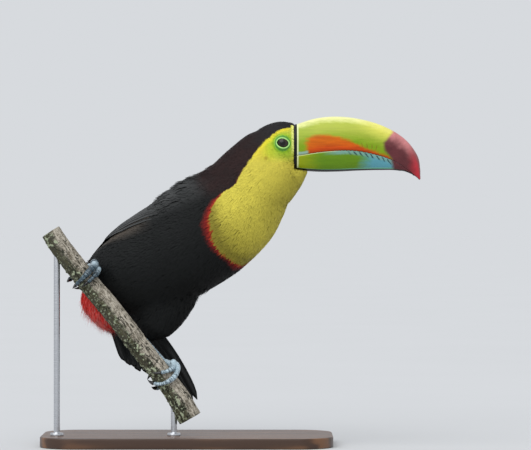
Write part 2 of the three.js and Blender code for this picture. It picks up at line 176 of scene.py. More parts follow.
def round_end(share, cap, blunt=1.0, least=0.0):
    """How sizes shrink towards an end that is rounded over the share cap: the root of
    1 - blunt (1 - share / cap) squared. With no cap nothing shrinks."""
    if not cap:
        return np.ones_like(share)
    return np.sqrt(np.clip(1 - (1 - np.clip(share / cap, 0, 1)) ** 2 * blunt, least, 1))


class Form:
    """A tapering form along a smooth line. Each section across the line is an ellipse, and a cap
    rounds each end."""

    def __init__(self, rows, cap=(0.0, 0.0), count=241, relief=None):
        rows = np.array([list(row) + [0] * (6 - len(row)) for row in rows], float)
        self.share = np.linspace(0, 1, count)
        line = smooth_line(rows, self.share)
        self.middle, self.half, self.wide = line[:, :3], line[:, 3], line[:, 4]
        self.roll = np.radians(line[:, 5])
        self.along = unit(np.gradient(self.middle, axis=0))
        self.far = unit(FAR - self.along * self.along[:, 1:2])
        self.up = np.cross(self.far, self.along)
        self.shrink = round_end(self.share, cap[0]) * round_end(1 - self.share, cap[1])
        self.arc = arc_along(self.middle)
        self.half_slope, self.wide_slope = (
            np.clip(np.gradient(size * self.shrink) / np.gradient(self.arc), -STEEPEST, STEEPEST)
            for size in (self.half, self.wide)
        )
        self.relief = relief

    def read(self, shares, values):
        """One of the form's own columns, read between its samples."""
        place = np.clip(shares, 0, 1) * (len(self.share) - 1)
        i = np.minimum(place.astype(int), len(self.share) - 2)
        w = place - i
        w = w if values.ndim == 1 else w[..., None]
        return values[i] * (1 - w) + values[i + 1] * w

    def surface(self, shares, angles, grow=0.0):
        """Middle + up (half + grow) cos - far (wide + grow) sin: angle 0 is the upper edge and a
        quarter turn the near side."""
        shrink = self.read(shares, self.shrink)
        high = (self.read(shares, self.half) + grow) * shrink * np.cos(angles)
        wide = (self.read(shares, self.wide) + grow) * shrink * np.sin(angles)
        if self.relief:
            rise = self.relief(shares, angles + self.read(shares, self.roll))
            high, wide = high + rise * np.cos(angles), wide + rise * np.sin(angles)
        return (
            self.read(shares, self.middle)
            + self.read(shares, self.up) * high[..., None]
            - self.read(shares, self.far) * wide[..., None]
        )

    def locate(self, points):
        """For each point: the share of the nearest station, the angle round the line, the height
        over the surface (the reach from the line less the ellipse's radius that way), and the
        outward normal (the ellipse's gradient, tipped by the form's taper)."""
        squares = np.sum(self.middle**2, axis=1)
        i = np.empty(len(points), int)
        for start in range(0, len(points), BATCH):
            part = points[start:start + BATCH]
            i[start:start + BATCH] = np.argmin(squares - 2 * part @ self.middle.T, axis=1)
        offset = points - self.middle[i]
        slip = np.sum(offset * self.along[i], axis=1)
        inner = (i > 0) & (i < len(self.share) - 1)
        across = offset - self.along[i] * np.where(inner, slip, 0)[:, None]
        high = np.sum(across * self.up[i], axis=1)
        near = -np.sum(across * self.far[i], axis=1)
        half = np.maximum(self.half[i] * self.shrink[i], THINNEST)
        wide = np.maximum(self.wide[i] * self.shrink[i], THINNEST)
        reach = np.linalg.norm(across, axis=1)
        c, s = high / half, near / wide
        stretch = np.maximum(np.hypot(c, s), 1e-6)
        radius = reach / stretch
        step = self.arc[-1] / (len(self.share) - 1)
        share = np.clip(self.share[i] + slip / step / (len(self.share) - 1), 0, 1)
        angle = np.arctan2(s, c)
        if self.relief:
            radius = radius + self.relief(share, angle + self.roll[i])
        c, s = c / stretch, s / stretch
        taper = self.half_slope[i] * c * c + self.wide_slope[i] * s * s
        normal = self.up[i] * (c / half)[:, None] - self.far[i] * (s / wide)[:, None]
        normal = unit(unit(normal) - self.along[i] * taper[:, None])
        return i, share, angle, reach - radius, normal


def wing_edges(along):
    """The turns in degrees of the folded wing's upper and lower edges, at shares along it: the
    upper one nears the middle of the back, and both close on the tip."""
    front = round_end(along, 0.2, 0.97)
    upper = lerp(34, 5, ease(along / 0.45)) + 36 * ease(along, 0.78, 1.02)
    lower = WING["reach"] - 1 - 118 * np.clip(along - 0.6, 0, 0.4) - 4 * ease(along, 0.3, 0.6)
    middle, span = (upper + lower) / 2, (lower - upper) / 2 * front
    return middle - span, middle + span


def wing_place(shares, turns):
    """Where a point of the torso lies on the folded wing: across from -1 at the upper edge to 1
    at the lower, and along from 0 at the shoulder to 1 at the tip."""
    along = (shares - WING["front"]) / (WING["tip"] - WING["front"])
    upper, lower = wing_edges(along)
    turn = np.abs((np.degrees(turns) + 180) % 360 - 180)
    return (2 * turn - upper - lower) / (lower - upper), along


def wing_relief(shares, turns):
    """The folded wing's rise over the torso: thick in the middle, a clear step at the lower edge
    and the tip, and a soft slope at the shoulder and along the back."""
    across, along = wing_place(shares, turns)
    rim = (1 - np.clip(np.abs(across), 0, 1) ** 4) * (1 - ease(along, 0.6, 1.0) * 0.6)
    rise = WING["gap"] + (WING["thick"] - WING["edge"]) * rim
    sides = ease((1 - across) / lerp(0.8, 0.14, ease(along, 0.05, 0.45))) * ease(1 + across, 0, 0.7)
    return rise * sides * ease(along, -0.03, 0.3) * ease(1 - along, 0, 0.08)


FORMS = {
    "torso": Form(TORSO, (0.09, 0.1), relief=wing_relief),
    "head": Form(HEAD, (0.167, 0.15)),
    "throat": Form(THROAT, (0.06, 0.3)),
    "thigh_left": Form(THIGH_LEFT, (0.2, 0.25), 121),
    "thigh_right": Form(THIGH_RIGHT, (0.2, 0.25), 121),
    "under": Form(COVERTS_UNDER, (0.25, 0.3), 121),
    "upper": Form(COVERTS_UPPER, (0.25, 0.3), 121),
}
# One line from the bill's base down the neck to the tail, for places on the whole bird.
SPINE_HEAD = [[133, -20, 338, 1, 1, 0], [119, -20, 338, 1, 1, 0], [106, -19, 334.5, 1, 1, 2]]
SPINE = Form([*SPINE_HEAD, *TORSO[2:]], count=301)
# How softly neighbouring forms run into each other: head and neck, then limbs and coverts.
TRUNK_FORMS = ("torso", "head")
BLENDS = (2.6, 5.0)
UNDER_BILL = 312.2  # the chin's top at the bill's base; it falls to the front with the bill


def soft_least(heights, blend):
    """The soft minimum of some heights, -blend log(sum of exp(-height / blend)), and the share
    that each has in it."""
    lowest = np.min(list(heights.values()), axis=0)
    parts = {name: np.exp(-(height - lowest) / blend) for name, height in heights.items()}
    total = sum(parts.values())
    return lowest - blend * np.log(total), {name: part / total for name, part in parts.items()}


class Place:
    """What the body is like at some points: height over the outer surface (the forms, less the
    room that the bill takes), outward normal, the lie of the coat, the share of each form, and
    the place on the spine."""

    def __init__(self, points, trimmed=True):
        found = {name: form.locate(points) for name, form in FORMS.items()}
        heights = {name: found[name][3] for name in FORMS}
        trunk, shares = soft_least({name: heights[name] for name in TRUNK_FORMS}, BLENDS[0])
        limbs = {name: height for name, height in heights.items() if name not in TRUNK_FORMS}
        self.height, outer = soft_least({"trunk": trunk, **limbs}, BLENDS[1])
        self.weight = {name: outer["trunk"] * share for name, share in shares.items()}
        self.weight.update({name: outer[name] for name in limbs})
        self.normal = unit(sum(w[:, None] * found[n][4] for n, w in self.weight.items()))
        x, z = points[:, 0], points[:, 2]
        if trimmed:
            ahead = x - lerp(120.8, 122.5, ease(z, 314, 320))
            above = z - UNDER_BILL + 0.08 * np.maximum(x - 121, 0)
            cut = np.minimum(ahead, above)
            flat = np.where((ahead < above)[:, None], [1.0, 0, 0], [0.0, 0, 1.0])
            self.normal = np.where((cut > self.height)[:, None], flat, self.normal)
            self.height = np.maximum(self.height, cut)
        lie = 0
        for name, w in self.weight.items():
            form, i = FORMS[name], found[name][0]
            ahead = np.array([-0.6, 0, -0.8]) if name == "throat" else form.along[i]
            ahead = unit(form.along[i] + [-0.2, 0, -0.2]) if name == "under" else ahead
            lie = lie + w[:, None] * ahead
        self.lie = unit(lie - self.normal * dot(lie, self.normal))
        self.torso_share = found["torso"][1]
        self.torso_turn = found["torso"][2] + FORMS["torso"].roll[found["torso"][0]]
        i, share, angle, _, _ = SPINE.locate(points)
        # Down the throat the way along is read on its own slant: the spine bends too sharply there.
        slant = 8.4 + 0.6 * (133 - x) + 0.8 * (338 - z)
        self.along = lerp(share * SPINE.arc[-1], slant, self.weight["throat"])
        self.turn = np.degrees((angle + SPINE.roll[i] + np.pi) % (2 * np.pi) - np.pi)
        self.points = points


# ---------------- smooth noise

LATTICE = np.random.default_rng(7).random((32, 32, 32))


def noise(points, size, seed=0):
    """Smooth values from 0 to 1: the eased blend of random values at the corners of the cube of
    that size round each point. The size is one number, or one for each direction."""
    place = points / np.asarray(size, float) + 17.3 * seed
    base = np.floor(place).astype(int)
    w = place - base
    w = w * w * (3 - 2 * w)
    total = 0
    for corner in np.ndindex(2, 2, 2):
        share = np.prod(np.where(corner, w, 1 - w), axis=1)
        x, y, z = ((base[:, k] + corner[k]) % 32 for k in range(3))
        total = total + share * LATTICE[x, y, z]
    return total


def rough_noise(points, size, seed=0, layers=3):
    """Noise with finer layers added, each half the size and half the strength of the last."""
    parts = [noise(points, np.asarray(size) / 2**k, seed + k) / 2**k for k in range(layers)]
    return sum(parts) / sum(0.5**k for k in range(layers))


# ---------------- meshes

def put(name, data):
    """A new object in the scene."""
    thing = bpy.data.objects.new(name, data)
    bpy.context.scene.collection.objects.link(thing)
    return thing


def make_mesh(name, points, faces, maps=None, tints=None, values=None, smooth=True, normals=None):
    """A new object from points in millimetres and faces in one or more arrays. UV maps, tints and
    values are given for every point, and so are normals, for things so thin that they take the
    light of what they lie on."""
    faces = faces if isinstance(faces, list) else [faces]
    mesh = bpy.data.meshes.new(name)
    points = np.asarray(points, float)
    corners = np.concatenate([f.ravel() for f in faces]).astype(np.int32)
    counts = np.repeat([f.shape[1] for f in faces], [len(f) for f in faces])
    starts = np.cumsum(counts) - counts
    mesh.vertices.add(len(points))
    mesh.vertices.foreach_set("co", (points * MM).astype(np.float32).ravel())
    mesh.loops.add(len(corners))
    mesh.loops.foreach_set("vertex_index", corners)
    mesh.polygons.add(len(counts))
    mesh.polygons.foreach_set("loop_start", starts.astype(np.int32))
    mesh.polygons.foreach_set("use_smooth", np.full(len(counts), smooth))
    for layer, spots in (maps or {}).items():
        data = mesh.uv_layers.new(name=layer).data
        data.foreach_set("uv", np.asarray(spots, np.float32)[corners].ravel())
    if tints is not None:
        data = mesh.color_attributes.new("tint", "FLOAT_COLOR", "POINT").data
        data.foreach_set("color", np.column_stack([tints, np.ones(len(tints))]).astype(np.float32).ravel())
    for layer, numbers in (values or {}).items():
        data = mesh.attributes.new(layer, "FLOAT", "POINT").data
        data.foreach_set("value", np.asarray(numbers, np.float32))
    mesh.update(calc_edges=True)
    if normals is not None:
        mesh.normals_split_custom_set_from_vertices(normals)
    return put(name, mesh)


def tube_faces(rings, around):
    """Quads between the rings of a closed tube and a fan at each end, whose two middle points
    come after the rings."""
    i = np.arange(rings - 1)[:, None] * around
    j = np.arange(around)
    k = (j + 1) % around
    quads = np.stack([i + j, i + k, i + around + k, i + around + j], axis=-1).reshape(-1, 4)
    middle, end = np.full(around, rings * around), (rings - 1) * around
    start_fan = np.stack([middle, k, j], axis=-1)
    end_fan = np.stack([middle + 1, end + j, end + k], axis=-1)
    return [quads, np.vstack([start_fan, end_fan])]


def closed_tube(rings):
    """Points and faces of a tube from rings (count, around, 3), closed by a point at the middle
    of each end, with its faces turned out."""
    points = np.vstack([rings.reshape(-1, 3), rings[0].mean(axis=0), rings[-1].mean(axis=0)])
    faces = tube_faces(*rings.shape[:2])
    return points, [turned_out(points, faces, f) for f in faces]


def turned_out(points, faces, chosen):
    """The chosen faces, with their order turned round if the closed shape has its inside out,
    which its signed volume tells."""
    volume = 0
    for group in faces:
        for k in range(1, group.shape[1] - 1):
            a, b, c = points[group[:, 0]], points[group[:, k]], points[group[:, k + 1]]
            volume += np.sum(a * np.cross(b, c))
    return chosen[:, ::-1] if volume < 0 else chosen


def merge(parts):
    """Several (points, faces) shapes as one."""
    points, faces, start = [], [], 0
    for shape_points, shape_faces in parts:
        points.append(shape_points)
        faces += [group + start for group in shape_faces]
        start += len(shape_points)
    return np.vstack(points), faces


def form_tube(form, rings, around, grow):
    """A form's surface, grown by a height, as a closed tube."""
    t, a = np.meshgrid(np.linspace(0, 1, rings), full_turn(around), indexing="ij")
    return closed_tube(form.surface(t, a, grow))


def finished(piece, material, slot, *nodes):
    """Rides a piece on the root, gives it its material and hides the nodes that it stands for. The slot is
    not used.
    """
    piece.data.materials.append(material)
    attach(piece, "root")
    if nodes:
        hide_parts(*nodes)
    return piece


# ---------------- markings

def colour(red, green, blue):
    """A screen colour, 0 to 255, as the linear light that Blender reckons in."""
    screen = np.array([red, green, blue]) / 255
    return tuple(np.where(screen <= 0.04045, screen / 12.92, ((screen + 0.055) / 1.055) ** 2.4))


# Every colour of the model: what it is for, and red, green and blue on the screen.
HUES = {
    "yellow": ("The throat and the breast", 214, 200, 76),
    "gold": ("The patch behind the eye", 238, 218, 48),
    "brow": ("The pale edge of the face along the bill", 240, 240, 142),
    "lime": ("The face round the eye", 148, 194, 38),
    # Painted shade: shade darkens the breast's low edge and front, which face down, away from the light.
    "shade": ("The low edge and the front of the breast", 138, 128, 42),
    "ear": ("The spot over the ear", 140, 104, 16),
    "black": ("The body", 8, 11, 11),
    "cap": ("The crown", 32, 30, 32),
    "maroon": ("The nape and the mantle", 37, 18, 17),
    # Painted highlight: wing is the black wing painted grey, as light falls on the wing's top.
    "wing": ("The wing's small feathers", 60, 61, 61),
    "brown": ("The worn edge of the wing", 104, 94, 84),
    "red": ("The band under the breast", 124, 22, 18),
    "ember": ("The band's edge towards the breast", 170, 54, 22),
    "scarlet": ("The feathers under the tail", 228, 40, 32),
    "pink": ("The tips of the feathers under the tail", 242, 176, 168),
    "white": ("The feathers over the tail", 232, 228, 216),
    "ring": ("The bare ring round the eye", 176, 226, 132),
    # ring_shade is partly the bare skin's green and partly painted shade round the raised rim.
    "ring_shade": ("The bare skin inside the ring", 76, 140, 44),
    "bill_lime": ("The upper bill", 172, 184, 66),
    "bill_green": ("The upper bill over the blaze", 122, 154, 18),
    # Painted highlight: the pale line along the top of the upper bill.
    "bill_ridge_highlight": ("The ridge of the bill", 240, 240, 168),
    "bill_yellow": ("The ridge near the tip", 226, 218, 96),
    "bill_orange": ("The blaze", 200, 98, 4),
    "bill_ember": ("The blaze near the mouth", 188, 66, 4),
    "bill_blue": ("The corner of the mouth", 150, 182, 170),
    "bill_pale": ("The thin line next to the black band", 232, 238, 190),
    "bill_black": ("The band and the line round the bill", 14, 15, 15),
    "bill_mark": ("The tooth marks", 120, 70, 24),
    # Painted highlight: the rosy upper side of the tip.
    "tip_rose_highlight": ("The upper side of the tip", 204, 130, 130),
    "tip_dark": ("The middle of the tip", 96, 46, 50),
    "tip_red": ("The tip along the mouth", 186, 44, 56),
    "low_olive": ("The lower bill at its base", 148, 162, 8),
    "low_green": ("The lower bill's middle", 98, 138, 18),
    "low_teal": ("The lower bill before the blue", 80, 148, 84),
    "low_blue": ("The lower bill near the tip", 92, 158, 172),
    "low_band": ("The toothed band", 116, 160, 150),
    "low_mark": ("The dark teeth", 26, 58, 66),
    "low_line": ("The line over the black edge", 120, 190, 150),
    "iris": ("The iris", 46, 34, 28),
    "pupil": ("The pupil and the lid's edge", 10, 10, 11),
    "leg": ("Legs and feet", 50, 72, 84),
    # leg_pale_and_highlight is the pale middle of the plates and also the painted highlight on the knuckles.
    "leg_pale_and_highlight": ("The middle of the leg's plates", 178, 198, 208),
    "leg_dark": ("The seams of the legs", 18, 30, 38),
    "claw": ("The claws", 14, 14, 15),
    "claw_root": ("The claws' roots", 44, 42, 42),
    "bark_pale": ("The bark's upper side", 187, 179, 164),
    "bark_dark": ("The bark's darker scales", 98, 91, 78),
    "bark_moss": ("The bark's lower side", 66, 65, 44),
    "bark_deep": ("The bark's cracks", 32, 35, 26),
    "lichen": ("Lichen on the bark", 168, 178, 148),
    "wood_pale": ("The sawn ends", 196, 168, 124),
    "wood_ring": ("The rings on the sawn ends", 140, 104, 66),
    "base_light": ("The base's lighter grain", 112, 76, 48),
    "base_dark": ("The base's darker grain", 62, 40, 26),
    "steel": ("The rods", 196, 198, 202),
}
# The end of the yellow: how far down the spine it reaches at each turn from the middle of the
# back, and how wide the red band behind it is there.
YELLOW_TURNS = [0, 12, 19, 38, 46, 54, 63, 75, 86, 90, 96, 109, 121, 133, 147, 160, 171, 180]
YELLOW_ENDS = [-9, 4, 17.6, 34, 39, 46, 51, 63, 76, 95, 105, 120, 131, 137.3, 143, 146, 146, 145.5]
BAND_TURNS = [70, 88, 96, 120, 133, 147, 160, 171, 180]
BAND_WIDTHS = [0.5, 1.5, 5.0, 7.0, 7, 5.5, 4.0, 2.4, 1.8]
EAR = (89.0, 324.5)
FACE_END = (40, 66)  # along the spine, where the face runs out into the breast and the cap into the nape


def yellow_left(place):
    """How far inside the yellow a place lies, in millimetres along the spine."""
    return np.interp(np.abs(place.turn), YELLOW_TURNS, YELLOW_ENDS) - place.along


def marks(place, hues):
    """The plumage's colour at some places: yellow down to a line that runs from the bill over
    the eye, down the side of the neck and round under the breast, with painted shade on its low
    edge and front, a red band behind it, black behind that with a maroon nape and a wing painted
    grey as a painted highlight, and red under and white over the tail."""
    points, along, turn, weight = place.points, place.along, np.abs(place.turn), place.weight
    x, _, z = points.T
    drift = (noise(points, 4.0, 3) - 0.5) * lerp(1.0, 2.2, ease(along, 40, 80))
    past = along + drift - np.interp(turn, YELLOW_TURNS, YELLOW_ENDS)
    band = np.interp(turn, BAND_TURNS, BAND_WIDTHS)
    face = 1 - ease(along, *FACE_END)

    def paint(base, name, share):
        return lerp(base, np.array(hues[name]), np.clip(share, 0, 1)[:, None])

    # Painted shade: the yellow darkens towards the breast's low edge and on the front of the throat and
    # breast, which face down.
    low = ease(along, 95, 142) * 0.7 + 0.6 * ease(-past, 16, 0) * ease(along, 90, 130)
    front = ease(turn, 105, 160) * lerp(0.6, 0.3, ease(along, 50, 105)) * ease(along, 12, 40)
    shaded = np.maximum(low, front) * (0.8 + 0.4 * noise(points, 9, 5))
    yellow = paint(np.tile(np.array(hues["yellow"]), (len(points), 1)), "shade", shaded)
    behind_eye = ease(EYE["x"] - x, 4, 16) * face * ease(z, 318, 330)
    yellow = paint(yellow, "gold", behind_eye * 0.9)
    round_eye = 1 - ease(np.hypot(x - EYE["x"], z - EYE["z"]), 9, 20)
    beside_bill = 0.75 * ease(x, 106, 117) * ease(z, 322, 336)
    below_eye = 0.75 * (ease(z, 317, 330) * (1 - ease(np.abs(x - 104), 10, 24)))
    lime = np.maximum(np.maximum(round_eye, beside_bill), below_eye)
    yellow = paint(yellow, "lime", lime * face * (1 - 0.6 * ease(z, 347, 358)))
    yellow = paint(yellow, "brow", 0.7 * (ease(x, 117.0, 118.8) * ease(z, 326, 338)))
    under_cap = ease(past, -9, -3) * face * ease(EYE["x"] + 12 - x, 0, 8)
    yellow = paint(yellow, "gold", under_cap * 0.7)
    yellow = paint(yellow, "ear", ease(-np.hypot(x - EAR[0], z - EAR[1]), -3.4, -1.4) * face)

    dark = paint(np.tile(np.array(hues["black"]), (len(points), 1)), "cap", face)
    nape = ease(along, 36, 62) * (1 - ease(along, 96, 138)) * (1 - ease(turn, 74, 104))
    dark = paint(dark, "maroon", nape * (0.65 + 0.6 * noise(points, 7, 9)))
    across, down = wing_place(place.torso_share, place.torso_turn)
    inside = ease(1 - np.abs(across), -0.1, 0.3) * ease(down, -0.1, 0.35) * ease(1 - down, 0, 0.1)
    # Painted highlight: the wing's small feathers are painted grey over the black, where light falls on the
    # wing's top.
    dark = paint(dark, "wing", inside * weight["torso"] * (0.45 + 0.55 * noise(points, 12, 2)))
    worn_edge = ease(across, 0.8, 1.0) * (1 - ease(across, 1.05, 1.5)) * ease(down, 0.4, 0.6)
    dark = paint(dark, "brown", 0.45 * worn_edge * weight["torso"])
    has_band = ease(band, 0.4, 2.5)
    red = (1 - ease(past, band - 0.8, band + 2.4)) * lerp(1.0, 0.45, ease(past, 0.4 * band, band))
    dark = paint(dark, "red", red * has_band)
    dark = paint(dark, "ember", (1 - ease(past, 0.1 * band, 0.5 * band)) * has_band * 0.8)

    result = lerp(yellow, dark, ease(past, -1.2, 0.8)[:, None])
    result = paint(result, "scarlet", ease(weight["under"], 0.35, 0.6))
    return paint(result, "white", ease(weight["upper"], 0.35, 0.6))


# ---------------- skin

COAT_DEPTH = 0.0028  # metres, on the body
# Where sizes of the coat are stated, in millimetres down the spine: from the face over the neck to
# the body and the tail, and a shorter row for face, neck and body.
DOWN = [0, 30, 60, 100, 150, 220]
FACE_NECK_BODY = [0, 60, 150]
SKIN_RINGS, SKIN_AROUND = 70, 56  # how finely the forms are cut before they are fused
SKIN_INSET = 1.6  # how far inside their surface the forms are fused


def coat_depth(place, scale):
    """How deep the skin lies under the coat's outer surface: thin on the face, thick on the body."""
    return np.interp(place.along, DOWN, [0.8, 1.0, 1.6, 2.2, 2.8, 2.8]) * scale


def skin_shape(voxel, depth_scale):
    """One closed skin: tubes of every form run together, then each point is slid along the
    body's normal until it lies the coat's depth under the outer surface."""
    shells = [form_tube(form, SKIN_RINGS, SKIN_AROUND, -SKIN_INSET) for form in FORMS.values()]
    shells_piece = make_mesh("skin_shells", *merge(shells))
    fuse = shells_piece.modifiers.new("one_skin", "REMESH")
    fuse.mode = "VOXEL"
    fuse.voxel_size = voxel * MM
    ready = shells_piece.evaluated_get(bpy.context.evaluated_depsgraph_get())
    fused = ready.to_mesh()
    points = np.empty(len(fused.vertices) * 3, np.float32)
    fused.vertices.foreach_get("co", points)
    points = points.reshape(-1, 3).astype(float) / MM
    faces = np.empty(len(fused.polygons) * 4, np.int32)
    fused.loops.foreach_get("vertex_index", faces)
    faces = faces.reshape(-1, 4)
    ready.to_mesh_clear()
    bpy.data.objects.remove(shells_piece)
    for _ in range(3):
        place = Place(points)
        rise = np.clip(place.height + coat_depth(place, depth_scale), -6, 6)
        points = relaxed(points - place.normal * rise[:, None], faces, 0.5)
    # The flat end that the bill covers is drawn in towards the bill's middle.
    inside = ease(points[:, 0], 120.0, 122.5) * ease(points[:, 2], 311, 313)
    points[:, 1:] = lerp(points[:, 1:], np.array([BILL_Y, 338]), 0.2 * inside[:, None])
    return points, faces


def relaxed(points, faces, share):
    """Each point moved a share of the way to the mean of its neighbours."""
    sums, counts = np.zeros_like(points), np.zeros(len(points))
    for step in (1, 3):
        ahead = np.roll(faces, -step, axis=1).ravel()
        for k in range(3):
            sums[:, k] += np.bincount(faces.ravel(), points[ahead, k], len(points))
        counts += np.bincount(faces.ravel(), minlength=len(points))
    return lerp(points, sums / np.maximum(counts, 1)[:, None], share)


# ---------------- feathers

def feather_kind(rows, widths, across, rise, bow):
    """A kind of feather: shares down the vane with its width at each, shares across it with its
    rise at each, and how far its light turns to the sides."""
    rows, widths, across, rise = (np.asarray(column, float) for column in (rows, widths, across, rise))
    return {"rows": rows, "widths": widths, "across": across, "rise": rise, "bow": bow}


# A narrow lock with a ridge, for hair-like feathers.
LOCK = feather_kind([0, 0.34, 0.66, 0.88, 1], [0.45, 0.92, 1, 0.62, 0.08], [-1, 0, 1], [0, 1, 0], 0.3)
# A small broad feather with a round end.
PLUME = feather_kind(
    [0, 0.3, 0.58, 0.8, 0.94, 1], [0.4, 0.85, 1, 0.86, 0.5, 0.14],
    [-1, -0.5, 0, 0.5, 1], [-0.5, 0.7, 1, 0.7, -0.5], 0.26,
)
# A long flight feather with a round end: two webs that droop from the shaft between them.
LENGTHWISE = np.linspace(0, 1, 22)
ROUNDED = np.sqrt(1 - np.clip((LENGTHWISE - 0.86) / 0.14, 0, 1) ** 2 * 0.99)
QUILL = feather_kind(
    LENGTHWISE, ROUNDED * (0.5 + 0.5 * ease(LENGTHWISE, 0, 0.3)),
    [-1, -0.7, -0.35, -0.06, 0, 0.06, 0.35, 0.7, 1, 0], [-1, 0, 0.5, 0.7, 1.2, 0.7, 0.5, 0, -1, -0.6], 0.08,
)
# A tail feather: its web narrows from the middle on to a blunt point.
NARROWED = QUILL["widths"] * (1 - 0.5 * np.clip(LENGTHWISE - 0.35, 0, 1) ** 1.2)
RECTRIX = {**QUILL, "widths": NARROWED}
PATCH = 0.003  # how wide each vane's patch is on the OFBake map


def vanes(kind, centre, side, normal, width, thick):
    """Closed vanes along midlines (count, rows, 3): each row is a ring, the midline plus the side
    way times width times across, plus the normal times thickness times rise. Their light normals
    are the body's, turned a little to each side so that a vane looks round."""
    count, rows = centre.shape[:2]
    around = len(kind["across"])
    spread = width[:, None, None] * kind["widths"][:, None] * kind["across"]
    lift = thick[:, None, None] * (1 - 0.5 * kind["rows"][:, None]) * kind["rise"]
    ring = centre[:, :, None] + side[:, :, None] * spread[..., None] + normal[:, :, None] * lift[..., None]
    start = np.arange(count)[:, None, None] * rows * around
    i = np.arange(rows - 1)[None, :, None] * around
    j = np.arange(around)[None, None, :]
    k = (j + 1) % around
    quads = np.stack([start + i + a for a in (j, k, k + around, j + around)], axis=-1).reshape(-1, 4)
    fan = np.arange(1, around - 1)
    end = (rows - 1) * around
    cap = np.stack([np.zeros_like(fan), fan + 1, fan], axis=-1)
    caps = np.vstack([cap, np.stack([cap[:, 0], cap[:, 2], cap[:, 1]], axis=-1) + end])
    tris = (start.reshape(-1, 1, 1) + caps).reshape(-1, 3)
    points = ring.reshape(-1, 3)
    sample = [quads[:(rows - 1) * around], tris[:len(caps)]]
    faces = [turned_out(points, sample, group) for group in (quads, tris)]
    light = unit(normal[:, :, None] + side[:, :, None] * (kind["bow"] * kind["across"][:, None]))
    return points, faces, light.reshape(-1, 3)


def vane_mesh(name, kind, shape, tints, spots, lit=True):
    """Vanes as one mesh. Of its two UV maps, OFBake holds each vane as a small patch at its root's
    place on the unwrap, and vane runs across and along each."""
    points, faces, light = vanes(kind, *shape)
    around = len(kind["across"])
    across = np.tile(kind["across"], len(kind["rows"]) * len(spots))
    down = np.tile(np.repeat(kind["rows"], around), len(spots))
    patch = np.repeat(spots, len(kind["rows"]) * around, axis=0)
    patch = patch + PATCH / 2 * np.stack([across, 2 * down - 1], axis=-1)
    maps = {"OFBake": patch, "vane": np.stack([across / 2 + 0.5, down], axis=-1)}
    tints = np.clip(tints.reshape(-1, 3), 0, 1)
    return make_mesh(name, points, faces, maps, tints, normals=light if lit else None)


def unwrap(along, turn):
    """A place on the skin's own unwrap: across by the turn, up by the distance along."""
    flat = [(values - values.min()) / max(np.ptp(values), 1.0) for values in (turn, along)]
    return 0.01 + 0.98 * np.stack(flat, axis=-1)


CELLS = 120  # how many cells a form's surface has each way
PLENTY = 2.6  # how many roots are tried for each that is wanted
RANKS = 1.25  # the step between one class of spacing and the next
GRID = 4096  # how many cubes each way the grid that finds neighbours has


def scatter(spacing_at, rng):
    """Roots over the whole body: each form's surface is cut in cells, each cell gets roots by
    its area over the spacing squared, what is buried deep in another form is dropped, and the
    rest is slid on to the body's outer surface."""
    found = []
    shares = np.linspace(0.002, 0.998, CELLS + 1)
    angles = np.linspace(0, 2 * np.pi, CELLS + 1)
    t, a = np.meshgrid(shares, angles, indexing="ij")
    for form in FORMS.values():
        grid = form.surface(t, a)
        down, over = grid[1:, :-1] - grid[:-1, :-1], grid[:-1, 1:] - grid[:-1, :-1]
        area = np.linalg.norm(np.cross(down, over), axis=-1).ravel()
        middles = (grid[1:, 1:] + grid[:-1, :-1]).reshape(-1, 3) / 2
        wanted = PLENTY * area / spacing_at(Place(middles)) ** 2
        total = np.cumsum(wanted)
        count = int(total[-1])
        pick = np.searchsorted(total, (np.arange(count) + rng.random(count)) / count * total[-1])
        pick = np.minimum(pick, len(wanted) - 1)
        share = shares[pick // CELLS] + rng.random(count) * (shares[1] - shares[0])
        angle = angles[pick % CELLS] + rng.random(count) * (angles[1] - angles[0])
        found.append(form.surface(share, angle))
    points = np.vstack(found)
    for depth in (5.5, 2.5):
        place = Place(points, trimmed=False)
        points = (points - place.normal * place.height[:, None])[np.abs(place.height) < depth]
    points = points[Place(points).height < 0.5]
    keep = thin_out(points, spacing_at(Place(points)), rng)
    return points[keep]


def thin_out(points, spacing, rng):
    """Picks points that keep their spacing: those of like spacing fall in cubes, each cube keeps
    the one of highest rank, and it gives way to a neighbour of higher rank that is too near."""
    rank = rng.permutation(len(points))
    keep = np.zeros(len(points), bool)
    classes = np.floor(np.log(spacing) / np.log(RANKS)).astype(int)
    for level in np.unique(classes):
        members = np.nonzero(classes == level)[0]
        size = RANKS**level * 0.8
        cells = np.floor(points[members] / size).astype(np.int64) + GRID // 2
        key = (cells[:, 0] * GRID + cells[:, 1]) * GRID + cells[:, 2]
        order = np.lexsort((-rank[members], key))
        first = order[np.concatenate([[True], np.diff(key[order]) > 0])]
        members, key = members[first], key[first]
        alive = np.ones(len(members), bool)
        for step in np.ndindex(3, 3, 3):
            offset = ((step[0] - 1) * GRID + step[1] - 1) * GRID + step[2] - 1
            if offset == 0:
                continue
            other = np.minimum(np.searchsorted(key, key + offset), len(key) - 1)
            there = key[other] == key + offset
            gap = np.linalg.norm(points[members] - points[members[other]], axis=1)
            alive &= ~(there & (gap < size * 0.85) & (rank[members[other]] > rank[members]))
        keep[members[alive]] = True
    return keep


ROOT_SINK = 0.25  # how far under the skin a root starts
RISE_POWER = 0.65  # a vane rises from the skin as this power of the share down it
LEAST_ALIKE = 0.6  # how alike a vane's ways must be from row to row; 1 is the same


